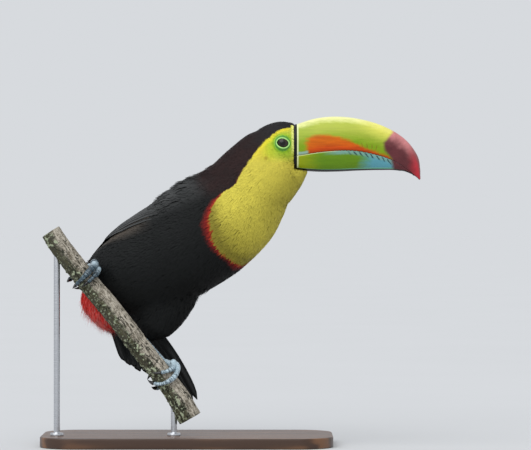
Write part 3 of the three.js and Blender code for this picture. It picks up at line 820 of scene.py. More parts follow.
def lay_vanes(kind, roots, lengths, depth, lift, sway, curl, free):
    """Midlines that follow the body: each row steps on along the lie of the coat, turned by the
    sway, and rises from the skin to the lift over the outer surface. A free vane runs straight
    on from its middle, off the body. Also says which vanes are sound: the others lie in a fold
    of the body, where they stretch or twist, and are left out."""
    spots = roots
    place = Place(spots, trimmed=False)
    turn = sway[:, None]
    lie = unit(place.lie * np.cos(turn) + np.cross(place.normal, place.lie) * np.sin(turn))
    centre, side, normal = [], [], []
    for row, v in enumerate(kind["rows"]):
        if row:
            spots = spots + lie * (lengths * (v - kind["rows"][row - 1]))[:, None]
            place = Place(spots, trimmed=False)
        goal = lerp(-depth - ROOT_SINK, lift, v**RISE_POWER)
        loose = (free * ease(v, 0.3, 0.55))[:, None]
        spots = spots + place.normal * np.clip(goal - place.height, -4, 4)[:, None] * (1 - loose)
        bend = lie + np.cross(place.normal, lie) * curl[:, None] * v + place.normal * loose * 0.7
        lie = unit(bend - place.normal * dot(bend, place.normal) * (1 - loose))
        centre.append(spots)
        side.append(np.cross(place.normal, lie))
        normal.append(place.normal)
    centre, side, normal = np.stack(centre, 1), np.stack(side, 1), np.stack(normal, 1)
    steps = np.linalg.norm(np.diff(centre, axis=1), axis=2) / np.diff(kind["rows"])
    sound = steps.max(axis=1) < 2.2 * lengths + 3
    sound &= np.abs(place.height - lift) < 1.5 + lift + 12 * free
    for way in (side, normal):
        sound &= dot(way[:, 1:], way[:, :-1]).min(axis=(1, 2)) > LEAST_ALIKE * (1 - 2 * free)
    return centre, side, normal, sound


# Where feathers stand off the body: x, z, reach and how far the tips lift.
RUFFLES = [
    (-20, 288, 13, 3.2),
    (-2, 300, 11, 3.4),
    (12, 311, 12, 3.6),
    (24, 318, 11, 3.0),
    (27, 178, 8, 2.4),
    (-46, 118, 16, 1.2),
    (62, 207, 12, 0.9),
]


def broadness(place):
    """1 where the feathers are small broad ones, on the mantle, the back and the wings, and 0
    where they are hair-like."""
    turn = np.abs(place.turn)
    mantle = ease(place.along, 92, 122) * (1 - ease(turn, 62, 88))
    across, along = wing_place(place.torso_share, place.torso_turn)
    wing = ease(along, -0.02, 0.1) * ease(1.12 - np.abs(across), 0, 0.15)
    return np.maximum(mantle, wing) * place.weight["torso"]


def coat_spacing(place, density):
    """How far apart feathers stand, in millimetres: closest on the face, widest on the back."""
    spacing = np.interp(place.along, DOWN, [0.92, 1.05, 1.25, 1.5, 1.85, 2.1])
    spacing = lerp(spacing, PLUME_WIDTH, broadness(place))
    spacing = np.where(place.weight["upper"] > 0.5, 1.9, spacing)
    spacing = np.where(place.weight["under"] > 0.5, 1.35, spacing)
    return spacing / density


def coat_roots(density):
    """Every root of the coat, less those under the bill, the eyes' bare skin and the flight
    feathers."""
    roots = scatter(lambda place: coat_spacing(place, density), np.random.default_rng(SEED))
    place = Place(roots)
    on_bill = (roots[:, 0] > 121.8) & (roots[:, 2] > 313.0)
    reach = np.hypot(roots[:, 0] - EYE["x"] - 0.2, roots[:, 2] - EYE["z"])
    on_eye = (reach < EYE["bare"]) & (np.abs(roots[:, 1] - BILL_Y) > 12)
    across, along = wing_place(place.torso_share, place.torso_turn)
    border = 0.57 + 0.14 * (noise(roots, 8, 17) - 0.5)
    on_quills = (along > border) & (along < 0.96) & (np.abs(across) < 0.84)
    return roots[~(on_bill | on_eye | (on_quills & (place.weight["torso"] > 0.5)))]


def coat_parts(place):
    """The coat's pieces: a name, the kind of feather and which roots belong."""
    turn, weight = np.abs(place.turn), place.weight
    bright_end = np.interp(turn, YELLOW_TURNS, YELLOW_ENDS) + np.interp(turn, BAND_TURNS, BAND_WIDTHS)
    under, upper, thigh = (weight[name] > 0.5 for name in ("under", "upper", "thigh_left"))
    bright = (place.along < bright_end + 1) & ~under & ~upper
    face = place.along < 56
    rest = ~(under | upper | thigh | bright)
    broad = broadness(place) > 0.5
    right = place.turn >= 0
    cap = rest & (place.along < 104) & ~broad
    body = rest & ~cap & ~broad
    return [
        ("coat_face", LOCK, bright & face),
        ("coat_bib_right", LOCK, bright & ~face & right),
        ("coat_bib_left", LOCK, bright & ~face & ~right),
        ("coat_crown", LOCK, cap),
        ("coat_belly_right", LOCK, body & right),
        ("coat_belly_left", LOCK, body & ~right),
        ("coat_back_right", PLUME, rest & broad & right),
        ("coat_back_left", PLUME, rest & broad & ~right),
        ("coat_thigh_left", LOCK, thigh),
        ("coat_undertail", LOCK, under),
        ("coat_uppertail", LOCK, upper),
    ]


PLUME_WIDTH = 2.9  # also how far apart the broad feathers stand
PLUME_THICK = 0.26


def raised(roots):
    """How far the tips lift in the ruffled places, in millimetres."""
    lift = np.zeros(len(roots))
    for x, z, reach, rise in RUFFLES:
        near = 1 - np.hypot(roots[:, 0] - x, roots[:, 2] - z) / reach
        lift = np.maximum(lift, rise * ease(near, 0, 0.8))
    return lift


def coat_piece(name, kind, roots, hues, sizes, rng):
    """The feathers at some roots as one mesh. Each is tinted by the markings near its tip, is
    darker at its root, a painted shade, and differs a little from its neighbours."""
    place = Place(roots)
    count, along, under = len(roots), place.along, place.weight["under"]
    loose = np.maximum(under, place.weight["upper"])
    if kind is LOCK:
        length = np.interp(along, DOWN, [3.4, 4.6, 7.0, 9.0, 11.0, 12.0])
        width = coat_spacing(place, 1.0) * np.interp(along, FACE_NECK_BODY, [0.56, 0.6, 0.62])
        thick = np.interp(along, FACE_NECK_BODY, [0.08, 0.09, 0.2])
    else:
        length = np.interp(along, [90, 130, 200, 300], [9.0, 11.0, 12.5, 13.5])
        width, thick = np.full(count, PLUME_WIDTH), np.full(count, PLUME_THICK)
    length = length * lerp(1, 1.5, loose) * sizes.feather_length * rng.uniform(0.82, 1.2, count)
    width = width * rng.uniform(0.8, 1.15, count) * lerp(1, 0.45, under)
    ruffle = raised(roots)
    fine = np.interp(along, FACE_NECK_BODY, [0.2, 0.55, 1.0])
    spiky = np.minimum(ruffle / 2, 1) * (rng.random(count) > 0.5)
    length, width = length * lerp(1, 1.3, spiky), width * lerp(1, 0.4, spiky)
    length = length * lerp(1, rng.uniform(0.6, 2.3, count), under)
    calm = 0.5 * ease(along, 20, 60) * ease(yellow_left(place), 0, 8)
    stray = 0.18 * (1 - calm) * rng.random(count) ** 2 + ruffle * rng.random(count)
    lift = 0.06 + fine * stray + 0.5 * loose * rng.random(count)
    clumps = noise(roots, np.interp(along.mean(), FACE_NECK_BODY, [5, 9, 14]), 21) - 0.5
    sway = (rng.normal(0, 0.06, count) + clumps * 0.35 * (1 - calm)) * lerp(0.4, 1, fine)
    curl = rng.normal(0, 0.1, count) * fine
    depth = coat_depth(place, sizes.coat_depth / COAT_DEPTH)
    wispy = under * rng.uniform(0.5, 1, count)
    centre, side, normal, sound = lay_vanes(kind, roots, length, depth, lift, sway, curl, wispy)
    # Down the face each row is tinted where it lies; behind, a vane takes one spot's tint.
    tip = lerp(centre[:, -3], centre[:, -1], rng.random(count)[:, None])
    seen = lerp(centre, tip[:, None], 0.65 * ease(along, 62, 100)[:, None, None])
    tints = marks(Place(seen.reshape(-1, 3)), hues).reshape(count, len(kind["rows"]), 1, 3)
    spread = lerp(0.035, 0.1, ease(-yellow_left(place), 0, 6))[:, None, None, None]
    tints = tints * (1 + spread * rng.normal(0, 1, (count, 1, 1, 1)))
    tints = tints * (0.94 + 0.12 * noise(roots, 6, 31))[:, None, None, None]
    # Painted shade: each vane is darker towards its root, where the vanes over it shade it.
    shade = lerp(0.93, 1.02, ease(kind["rows"], 0, 0.8))[None, :, None, None]
    tints = tints * shade * np.ones((1, 1, len(kind["across"]), 1))
    worn = under * lerp(0.55, 1.0, ease(180 - roots[:, 2], 0, 30))
    pale = ease(kind["rows"], 0.55, 1.0)[None, :, None, None] * worn[:, None, None, None]
    tints = lerp(tints, np.array(hues["pink"]), pale * rng.random((count, 1, 1, 1)))
    shape = (part[sound] for part in (centre, side, normal, width, thick))
    return vane_mesh(name, kind, shape, tints[sound], unwrap(along, place.turn)[sound])


def wing_point(sign, across, along, height):
    """A point over the folded wing: the torso's surface at that share and turn, with the wing's
    relief, grown by the height. sign is 1 for the right wing and -1 for the left."""
    torso = FORMS["torso"]
    upper, lower = wing_edges(along)
    share = lerp(WING["front"], WING["tip"], along)
    turn = np.radians((upper + lower) / 2 + across * (lower - upper) / 2) * sign
    return torso.surface(share, turn - torso.read(share, torso.roll), height)


# The wing's rows of feathers: how many, then pairs for the first, nearest the lower edge, and the
# last: across at the root, across at the tip, along at the root, along at the tip, the half
# width, and the height in millimetres.
WING_ROWS = {
    "quill": (16, (0.9, -0.62), (0.42, -0.5), (0.38, 0.34), (1.0, 0.86), 5.2, (-0.9, 0.3)),
    "greater": (17, (0.93, -0.62), (0.84, -0.62), (0.38, 0.34), (0.74, 0.69), 4.0, (-0.3, 0.3)),
    "median": (17, (0.95, -0.62), (0.9, -0.62), (0.3, 0.26), (0.62, 0.6), 3.8, (0.0, 0.5)),
    "scapular_low": (8, (-0.36, -0.98), (-0.3, -0.88), (0.34, 0.38), (0.74, 0.8), 4.8, (0.2, 0.6)),
    "scapular": (8, (-0.3, -0.98), (-0.26, -0.92), (0.24, 0.28), (0.6, 0.66), 4.6, (0.4, 0.8)),
}


def wing_piece(name, sign, hues):
    """All rows of one folded wing's large feathers as one mesh. A feather's midline runs straight
    across the wing's own surface, and each row and feather lies a little higher than the last."""
    rng = np.random.default_rng(SEED + 5)
    midlines, widths, bases, roots = [], [], [], []
    v = QUILL["rows"]
    black, grey, brown = (np.array(hues[key]) for key in ("black", "wing", "brown"))
    for row, (count, across_root, across_tip, root, tip, half, heights) in WING_ROWS.items():
        flight = row == "quill"
        for f in np.arange(count) / (count - 1):
            across = lerp(lerp(*across_root, f), lerp(*across_tip, f), v)
            reach = 1.0 - 0.3 * ease(f, 0, 0.4) + 0.12 * ease(f, 0.55, 1.0) if flight else lerp(*tip, f)
            along = lerp(lerp(*root, f), reach + rng.uniform(-0.012, 0.012), v)
            height = lerp(*heights, f) + rng.uniform(-0.06, 0.06)
            midlines.append(wing_point(sign, across, along, lerp(-1.3, height, ease(v, 0, 0.75))))
            widths.append(half * (1 - 0.3 * f * flight))
            # Painted highlight: the feathers' black is painted grey, more so towards the wing's tip, as
            # light falls on the wing's top.
            pale = (lerp(0.55, 1.1, ease(along, 0.15, 0.6)) * rng.uniform(0.8, 1.1))[:, None]
            bases.append(lerp(lerp(black, grey, pale), brown, 0.5 * (1 - ease(f, 0, 0.3)) * flight))
            roots.append([across[0] * 40, along[0] * 60])
    centre = np.stack(midlines)
    along = unit(np.gradient(centre, axis=1))
    place = Place(centre.reshape(-1, 3))
    normal = place.normal.reshape(centre.shape)
    normal = unit(normal - along * dot(normal, along))
    side = np.cross(normal, along) * sign
    across = QUILL["across"][None, None, :, None]
    tints = np.array(bases)[:, :, None, :] * (1 + 0.2 * across * np.ones((1, len(v), 1, 1)))
    # Painted shade: each feather is darker towards its root, where the feathers over it shade it, and a
    # little lighter at its tip.
    tints = tints * lerp(0.8, 1.1, v)[None, :, None, None]
    tints = np.where(np.abs(across) < 0.01, tints * 0.8, tints)
    shape = (centre, side, normal, np.array(widths), np.full(len(widths), WING_THICK))
    spots = np.array(roots)
    return vane_mesh(name, QUILL, shape, tints, unwrap(spots[:, 1], spots[:, 0]))


# The tail's root edge and the line of its feathers' tips, from the lower left to the right.
TAIL_ROOT = np.array([[-102.0, 26, 171], [-84, 44, 178]])
TAIL_TIPS = [[-74, 26, 96], [-63, 24, 88], [-52, 22, 83.5], [-27, 21, 70], [1, 20, 49], [13, 20, 47.5]]
TAIL_FEATHERS = 10
WING_THICK, TAIL_THICK = 0.22, 0.3  # how thick the large feathers are, in millimetres


def tail_point(across, down):
    """The tail's fan: from the root edge to the line of tips, bulged towards the right and back."""
    point = lerp(lerp(*TAIL_ROOT, across[..., None]), smooth_line(TAIL_TIPS, across), down[..., None])
    bulge = np.sin(np.pi * np.clip(down, 0, 1))
    back = 7 * bulge + 3 * np.sin(np.pi * across) * down
    return point + np.stack([8.5 * bulge * across, back, 6.5 * bulge * across], axis=-1)


def tail_piece(hues):
    """The tail feathers as one mesh: broad quills side by side on the fan, the outer ones lying
    under the middle ones, which is towards the side the bird shows."""
    rng = np.random.default_rng(SEED + 9)
    v = QUILL["rows"]
    middles, sides, widths = [], [], []
    for i in range(TAIL_FEATHERS):
        u = i / (TAIL_FEATHERS - 1)
        outer = abs(2 * u - 1)
        across = lerp(0.12 + 0.76 * u, 0.03 + 0.95 * u, ease(v, 0.2, 1)) + rng.uniform(-0.006, 0.006) * v
        down = v * (1.0 + rng.uniform(-0.02, 0.018) + 0.02 * (u < 0.45))
        centre = tail_point(across, down)
        centre[:, 1] += lerp(1.0, 0.45, v) * (1.6 - 3.6 * outer) + 0.3 * (i % 2)
        left, right = (tail_point(np.clip(across + step, 0, 1), down) for step in (0.04, -0.04))
        middles.append(centre)
        sides.append(unit(left - right))
        widths.append(8.6 - 1.6 * outer - 1.2 * (u > 0.8))
    centre, side = np.stack(middles), np.stack(sides)
    along = unit(np.gradient(centre, axis=1))
    side = unit(side - along * dot(side, along))
    normal = np.cross(side, along)
    normal = normal * np.sign(normal[..., 1:2])
    tints = np.array(hues["black"]) * np.ones((TAIL_FEATHERS, len(v), len(QUILL["across"]), 1))
    tints = tints * (1 + 0.25 * QUILL["across"][None, None, :, None])
    tints = tints * rng.uniform(0.85, 1.35, (TAIL_FEATHERS, 1, 1, 1))
    spots = np.stack([np.arange(TAIL_FEATHERS) / TAIL_FEATHERS, np.zeros(TAIL_FEATHERS)], axis=-1)
    shape = (centre, side, normal, np.array(widths), np.full(TAIL_FEATHERS, TAIL_THICK))
    return vane_mesh("tail_feathers", RECTRIX, shape, tints, 0.05 + 0.9 * spots, lit=False)


# ---------------- bill

# x, z, half height and half width at the bill's stations, and x and z along the line of the mouth.
BILL = [
    (120.6, 337.2, 25.3, 19.5), (145.8, 339.8, 30.0, 19), (169.5, 341.1, 31.1, 18), (193.4, 340.1, 29.2, 16),
    (215.8, 336.6, 25.6, 13.5), (235.0, 330.4, 20.4, 10.5), (249.6, 321.2, 13.6, 7), (257.5, 311.5, 6.9, 4),
    (261.4, 304.9, 2.5, 1.9), (263.0, 300.9, 0.9, 0.8),
]
MOUTH = [
    (105, 327.0), (123.2, 327.7), (148.0, 331.3), (170.6, 333.3), (189.8, 333.0), (206.8, 330.2),
    (222.6, 326.1), (235.0, 320.9), (245.2, 314.7), (256.4, 305.8), (263.6, 295.5),
]
# The orange blaze's height over the mouth along the bill, and where the dark tip starts at each
# height.
BLAZE_X = [130, 137, 148, 160, 176.6, 190.8, 200.2, 209.6, 222, 232]
BLAZE_TOP = [16, 18.5, 19.7, 18.6, 13.6, 8.2, 5.2, 3.6, 3.0, 2.6]
TIP_Z = [300, 315.6, 325, 333.6, 342, 354.3]
TIP_X = [234, 232.2, 230.3, 223.0, 221.9, 232.2]
SQUARE = 2.35  # how square the bill's section is; 2 is an ellipse
BAND_END = 124.3  # where the raised band at the bill's base ends


def bill_sections(count):
    """The bill's sections from its base to its tip: middle, the way to the top, half height, half
    width, and the mouth's height over the middle, which is found by sliding along the section
    until it meets the line of the mouth."""
    form = Form([(x, BILL_Y, z, high, wide) for x, z, high, wide in BILL], (0, 0.03))
    shares = 1 - (1 - np.linspace(0, 1, count)) ** 1.25
    middle = form.read(shares, form.middle)
    upright = ease(middle[:, 0], 121, 160)[:, None]
    top = unit(lerp(np.array([0.0, 0, 1.0]), -form.read(shares, form.up), upright))
    shrink = np.maximum(form.read(shares, form.shrink), 0.03)
    band = 0.35 * (1 - ease(middle[:, 0], BAND_END - 0.8, BAND_END + 0.2))
    half = form.read(shares, form.half) * shrink + band
    wide = form.read(shares, form.wide) * shrink + band
    line_x, line_z = smooth_line(MOUTH, np.linspace(0, 1, 400)).T
    height = np.zeros(count)
    for _ in range(12):
        spot = middle + top * height[:, None]
        height += 0.8 * (np.interp(spot[:, 0], line_x, line_z) - spot[:, 2])
    x = middle[:, 0]
    teeth = np.abs((x / 4.6 + 0.4 * np.sin(x / 7)) % 1 - 0.5) * 2
    height += 0.55 * (teeth - 0.5) * ease(x, 160, 182) * (1 - ease(x, 236, 246))
    return middle, top, half, wide, np.clip(height, -half * 0.97, half * 0.97)


def signed_power(values, power):
    """A power of the size of some values, which keep their signs."""
    return np.sign(values) * np.abs(values) ** power


def mandible(side, rings=300, around=72, gap=0.16):
    """One half of the bill as a closed tube. side is 1 for the upper half and -1 for the lower.
    Each ring goes round the superellipse |w/wide|^n + |h/half|^n = 1 from the mouth on one side
    to the mouth on the other, and back across the mouth, which is a little hollow. The lower
    half runs out to nothing where the mouth reaches its lower edge."""
    middle, top, half, wide, mouth = bill_sections(rings)
    if side < 0:
        kept = np.nonzero(mouth < -0.955 * half)[0]
        last = kept[kept > rings // 2][0]
        middle, top, half, wide, mouth = (a[:last] for a in (middle, top, half, wide, mouth))
    edge = mouth + side * gap * (1 - 0.9 * ease(middle[:, 0], 245, 252))
    start = np.arcsin(np.clip(signed_power(edge / half, SQUARE / 2) * side, -0.9999, 0.9999))
    sweep = lerp(start[:, None], (np.pi - start)[:, None], np.linspace(0, 1, around))
    across = signed_power(np.cos(sweep), 2 / SQUARE) * wide[:, None]
    rise = side * signed_power(np.sin(sweep), 2 / SQUARE) * half[:, None]
    edge = edge[:, None]
    if side < 0:
        fade = np.sqrt(np.clip((middle[-1, 0] - middle[:, 0] + 0.02) / 5, 0, 1))[:, None]
        rise = edge + (rise - edge) * fade
        across = across * lerp(0.5, 1, fade)
    across = across * (1 - 0.035 * np.exp(-np.abs(rise - edge) / 0.9))
    back = np.linspace(-1, 1, 12)[1:-1]
    inner = across[:, -1:] + (across[:, :1] - across[:, -1:]) * (back / 2 + 0.5)
    hollow = side * np.minimum(0.6, 0.2 * half)[:, None] * (1 - back**4)
    across = np.concatenate([across, inner], axis=1)
    rise = np.concatenate([rise, edge + hollow], axis=1)
    points = middle[:, None] + top[:, None] * rise[..., None] + FAR * across[..., None]
    shape, faces = closed_tube(points)
    x, z = points[..., 0], points[..., 2]
    over = side * (rise - mouth[:, None])
    full = side * (half * side - mouth)[:, None]
    blaze = -np.abs(x)
    if side > 0:
        blaze = np.minimum(np.interp(x, BLAZE_X, BLAZE_TOP) - over, (x - 135.2) * 0.6)
    tip = x - np.interp(z, TIP_Z, TIP_X)
    fields = {"over": over, "rest": full - over, "share": over / full, "blaze": blaze, "tip": tip}
    values = {key: np.append(f.ravel(), [f[0].mean(), f[-1].mean()]) for key, f in fields.items()}
    return make_mesh("bill_upper_horn" if side > 0 else "bill_lower_horn", shape, faces, values=values)


# ---------------- eyes

EYE_INSET = 0.35  # how much smaller than its stated radius the ball is, but for its clear front
EYE_BULGE, EYE_FRONT = 0.45, 0.45  # how far the clear front stands out, and its reach in radians


def eyeball(name, sign):
    """A ball turned on the axis through its pupil: the radius grows over the clear front by the
    bulge times exp(-(angle / reach)^4). The attribute out is the distance from the axis on the
    front, and 12 behind."""
    polar = np.linspace(0, np.pi, 97)[1:-1, None]
    turn = full_turn(96)
    small = EYE["radius"] - EYE_INSET
    radius = small + EYE_BULGE * np.exp(-((polar / EYE_FRONT) ** 4))
    out = radius * np.sin(polar)
    aside = -sign * radius * np.cos(polar) + 0 * turn
    middle = np.array([EYE["x"], BILL_Y - sign * EYE["side"], EYE["z"]])
    points, faces = closed_tube(np.stack([out * np.cos(turn), aside, out * np.sin(turn)], axis=-1) + middle)
    points[-2] = middle + [0, -sign * (small + EYE_BULGE), 0]
    points[-1] = middle + [0, sign * small, 0]
    away = np.hypot(points[:, 0] - middle[0], points[:, 2] - middle[2])
    front = (points[:, 1] - middle[1]) * -sign > 0
    return make_mesh(name, points, faces, values={"out": np.where(front, away, 12)})


# The section of the bare ring: reach from the pupil and height, from the lid's edge outwards
# over the rim, down under the feathers and back below.
LID = np.array([
    [5.75, -1.4], [5.7, -0.3], [5.8, 0.35], [6.1, 0.8], [6.6, 1.05], [7.2, 1.1], [7.8, 0.92], [8.4, 0.6],
    [9.0, 0.3], [9.6, 0.02], [10.2, -0.35], [10.2, -1.3], [8.6, -1.8], [7.0, -2.0],
])


def lid_ring(name, sign):
    """The bare ring round an eye: a closed strip whose section has a round rim and a slope with
    fine folds. It is laid on the body: each point is slid along Y to the surface and then raised
    by the section's height. The ring is drawn out to two corners and flattened by the lids."""
    t = full_turn(128)[:, None]
    v = np.linspace(0, len(LID) - 1, 61)
    reach, height = (np.interp(v, np.arange(len(LID)), column)[None, :] for column in LID.T)
    slope = ease(reach, 6.2, 7.4) * ease(10.4 - reach, 0, 1.2)
    fold = np.sin(reach * 7.5 + 0.7 * np.sin(3 * t)) * 0.06 + 0.07 * np.sin(38 * t + 2 * np.sin(reach))
    height = height + fold * slope * (height > -0.4)
    corner = np.abs(np.cos(t)) ** 6 * (1 - ease(reach, 6.6, 9.0))
    inner = 1 - ease(reach, 6.2, 9.8)
    height = height + 1.15 * np.sin(t) ** 2 * inner
    spread = reach * (1 + 0.01 * np.cos(2 * t) + 0.012 * np.sin(3 * t + 1) + 0.07 * corner)
    x = EYE["x"] + spread * np.cos(t)
    z = EYE["z"] + spread * np.sin(t) * (1 - 0.2 * inner) - 0.5 * inner * np.cos(t)
    points = np.stack([x.ravel(), np.full(x.size, BILL_Y - sign * 22.5), z.ravel()], axis=-1)
    for _ in range(6):
        place = Place(points)
        lean = np.where(np.abs(place.normal[:, 1]) < 0.4, -sign, place.normal[:, 1])
        points[:, 1] -= 0.9 * place.height / lean
    points = points + Place(points).normal * height.reshape(-1, 1)
    rings, around = height.shape
    i, j = np.meshgrid(np.arange(rings), np.arange(around), indexing="ij")
    k, m = (i + 1) % rings, (j + 1) % around
    quads = np.stack([a * around + b for a, b in ((i, j), (i, m), (k, m), (k, j))], axis=-1).reshape(-1, 4)
    quads = turned_out(points, [quads], quads)
    return make_mesh(name, points, quads, values={"out": (reach + 0 * height).ravel()})


# ---------------- legs and feet

PERCH_Y = -22
PERCH_LENGTH = 259
# x, z and radius at the perch's stations.
PERCH = [
    (-153.7, 241.8, 11.5), (-139.4, 220.1, 12.3), (-123.4, 199.6, 12.4), (-106.9, 179.5, 12.3),
    (-90.2, 159.6, 12.4), (-74.0, 139.3, 12.3), (-58.0, 118.8, 12.2), (-42.0, 98.3, 12.2),
    (-26.0, 77.8, 12.2), (-10.1, 55.4, 12.9), (3.4, 31.6, 14.0),
]
PERCH_FORM = Form([(x, PERCH_Y, z, radius, radius) for x, z, radius in PERCH])
# For each foot: its share along the perch, the heel where the leg leaves the thigh, the pad where
# the leg ends and the ball from which the toes spread.
FEET = {
    "right": {"at": 0.245, "heel": (-90, 6, 206), "pad": (-104.5, -8, 197.5), "ball": (-104.5, -8, 197.5)},
    "left": {"at": 0.79, "heel": (-52, 8, 122), "pad": (-19.4, -6.5, 86.5), "ball": (-16.5, -13, 90.5)},
}
# Each toe: millimetres along the perch from the foot's place at its root, middle and tip,
# degrees round the perch at root and tip, radius at root and tip, and how far the root stands off.
TOES = {
    "right": {
        "front_outer": ([-5, -1, 1], [-14, 140], [4.3, 2.0], 1.4),
        "front_inner": ([2.5, 6, 7], [-14, 88], [3.5, 2.0], 1.0),
        "hind_outer": ([-5, -8, -8.5], [-48, -158], [3.8, 2.5], 1.2),
        "hind_inner": ([4, 7, 6], [-48, -128], [3.4, 2.3], 1.2),
    },
    "left": {
        "front_outer": ([0, 9, 1], [-12, 146], [3.5, 1.9], 2.6),
        "front_inner": ([-4, 0, -4], [-12, 86], [3.3, 1.9], 2.2),
        "hind_outer": ([4, 9, 7], [-48, -158], [3.6, 2.4], 1.2),
        "hind_inner": ([-9, -10, -9], [-52, -128], [3.4, 2.3], 1.2),
    },
}
PLATES = 20  # how many plates the scales' map runs over
PLATE = {"toe": (3.1, 0.15), "link": (2.6, 0.3), "ball": (2.4, 0.3), "leg": (2.6, 0.35)}  # length, depth
BALL = {"half": 5.4, "radius": 5.5}
LEG = {"radius": 3.05, "heel": 0.35, "foot": 0.5, "away": (0.5, -1.0, 0.4)}  # away is its front
JOINT_SWELL = 0.3  # how much a toe's radius swells at its joints
TOE_CLEAR = 0.95  # how far a toe's sole stands off the perch's own form, for the bark's relief


def grip(at, step, degrees, lift):
    """A point over the perch: 0 degrees is its upper right edge and 90 the near side."""
    share = np.clip(at + step / PERCH_LENGTH, 0, 1)
    return PERCH_FORM.surface(share, np.pi - np.radians(degrees), lift)


def toe_line(foot, toe, v):
    """A toe's middle line and radius at shares v: it winds round the perch, and its radius has
    two swells, at the joints."""
    (a, b, c), turn, radius, lift = toe
    size = lerp(*radius, v) + JOINT_SWELL * np.cos(4 * np.pi * v)
    step = (1 - v) ** 2 * a + 2 * v * (1 - v) * (2 * b - (a + c) / 2) + v**2 * c
    return grip(foot["at"], step, lerp(*turn, v), size + TOE_CLEAR + lift * (1 - v) ** 2), size


def frame_on(line, away):
    """Along, up and side of a line of points; up is the way away, squared to the line."""
    along = unit(np.gradient(line, axis=0))
    up = unit(away - along * dot(away, along))
    return along, up, np.cross(along, up)


def scaly_tube(line, size, away, cap, around, plate, depth):
    """A round-ended tube with overlapping plates on top: over the upper half its radius rises
    along each plate's length and drops at its end; the sole is flatter, with soft pads. Also
    gives each point's place on the map: round the tube, and plates along it."""
    _, up, side = frame_on(line, away)
    arc = arc_along(line)
    v = arc / arc[-1]
    shrink = (round_end(v, cap, least=0.0004) * round_end(1 - v, cap, least=0.0004))[:, None]
    angle = full_turn(around)[None, :]
    tread = arc[:, None] / plate
    tread = tread + 0.34 * np.sin(tread * 1.7 + size[0])
    saw = tread % 1
    top = ease(np.cos(angle), -0.35, 0.15)
    scale = depth * (saw - 0.9 * ease(saw, 0.82, 1.0) * saw - 0.4) * top
    cross = depth * 0.7 * np.abs(np.sin(np.pi * tread * 1.1 + np.sin(3 * angle))) * (1 - top)
    radius = size[:, None] * (1 - 0.1 * ease(-np.cos(angle), 0.2, 1)) + scale + cross
    out = up[:, None] * np.cos(angle)[..., None] + side[:, None] * np.sin(angle)[..., None]
    points, faces = closed_tube(line[:, None] + out * (radius * shrink)[..., None])
    spots = np.stack(np.broadcast_arrays(angle / (2 * np.pi), tread / PLATES), axis=-1).reshape(-1, 2)
    return points, faces, np.vstack([spots, [0.25, 0], [0.25, tread[-1, 0] / PLATES]])


def foot_piece(side):
    """One foot: four plated toes that wind round the perch, a link from each to the foot's ball,
    and the round ball itself, as one mesh."""
    foot = FEET[side]
    ball, heel = np.array(foot["ball"], float), np.array(foot["heel"], float)
    parts = []
    axis_point = PERCH_FORM.surface(np.array([foot["at"]]), np.array([0.0]), -PERCH_FORM.half.mean())[0]
    for toe in TOES[side].values():
        line, size = toe_line(foot, toe, np.linspace(0, 1, 80))
        middle = PERCH_FORM.read(PERCH_FORM.locate(line)[1], PERCH_FORM.middle)
        parts.append(scaly_tube(line, size, line - middle, 0.07, 30, *PLATE["toe"]))
        link = smooth_line([ball, line[0], line[10]], np.linspace(0, 1, 30))
        thick = np.linspace(toe[2][0] + 0.5, toe[2][0] + 0.1, 30)
        parts.append(scaly_tube(link, thick, link - axis_point, 0.2, 30, *PLATE["link"]))
    line = ball + unit(heel - ball) * np.linspace(-BALL["half"], BALL["half"], 24)[:, None]
    size = np.full(len(line), BALL["radius"])
    parts.append(scaly_tube(line, size, line - axis_point, 0.5, 34, *PLATE["ball"]))
    points, faces = merge([part[:2] for part in parts])
    maps = {"scales": np.vstack([part[2] for part in parts])}
    return make_mesh("foot_" + side + "_scaled", points, faces, maps)


def tarsus_piece(side):
    """One bare lower leg with rows of plates down its front, a little thicker at both ends."""
    v = np.linspace(0, 1, 90)
    line = lerp(*(np.array(FEET[side][end], float) for end in ("heel", "pad")), v[:, None])
    size = LEG["radius"] + LEG["foot"] * ease(v, 0.72, 0.95) + LEG["heel"] * (1 - ease(v, 0.0, 0.2))
    away = np.tile(np.array(LEG["away"]), (len(v), 1))
    points, faces, spots = scaly_tube(line, size, away, 0.06, 34, *PLATE["leg"])
    return make_mesh("tarsus_" + side + "_scaled", points, faces, {"scales": spots})


CLAW = {"length": 10.2, "bend": 3.0, "root": 2.3, "tip": 0.16, "rings": 60, "around": 28}


def claw_piece(side, name):
    """A claw goes on from the toe's end, bends as the square of the way along it and thins to a
    point; its section is deeper than wide, with a narrow ridge below."""
    line, _ = toe_line(FEET[side], TOES[side][name], np.linspace(0, 1, 9))
    ahead, turned = unit(line[-1] - line[-2]), unit(line[-2] - line[-3])
    curl = unit(ahead - turned)
    v = np.linspace(0, 1, CLAW["rings"])
    path = line[-1] + ahead * CLAW["length"] * v[:, None] + curl * CLAW["bend"] * v[:, None] ** 2
    _, up, aside = frame_on(path, np.tile(-curl, (len(v), 1)))
    angle = full_turn(CLAW["around"])[None, :]
    ends = round_end(v, 0.08, 0.99) * np.sqrt(1 - np.clip((v - 0.96) / 0.04, 0, 1) ** 2 * 0.9)
    size = (lerp(CLAW["root"], CLAW["tip"], v**1.15) * ends)[:, None]
    high = size * 1.15 * np.cos(angle) * (1 + 0.1 * np.exp(-((angle - np.pi) ** 2) / 0.3))
    wide = size * 0.92 * np.sin(angle)
    rings = path[:, None] + up[:, None] * high[..., None] + aside[:, None] * wide[..., None]
    points, faces = closed_tube(rings)
    share = np.append(np.repeat(v, CLAW["around"]), [0, 1])
    return make_mesh("claw_" + side + "_" + name + "_horn", points, faces, values={"tip": share})


# ---------------- perch and stand

END_RINGS = 16  # how many rings each sawn end has


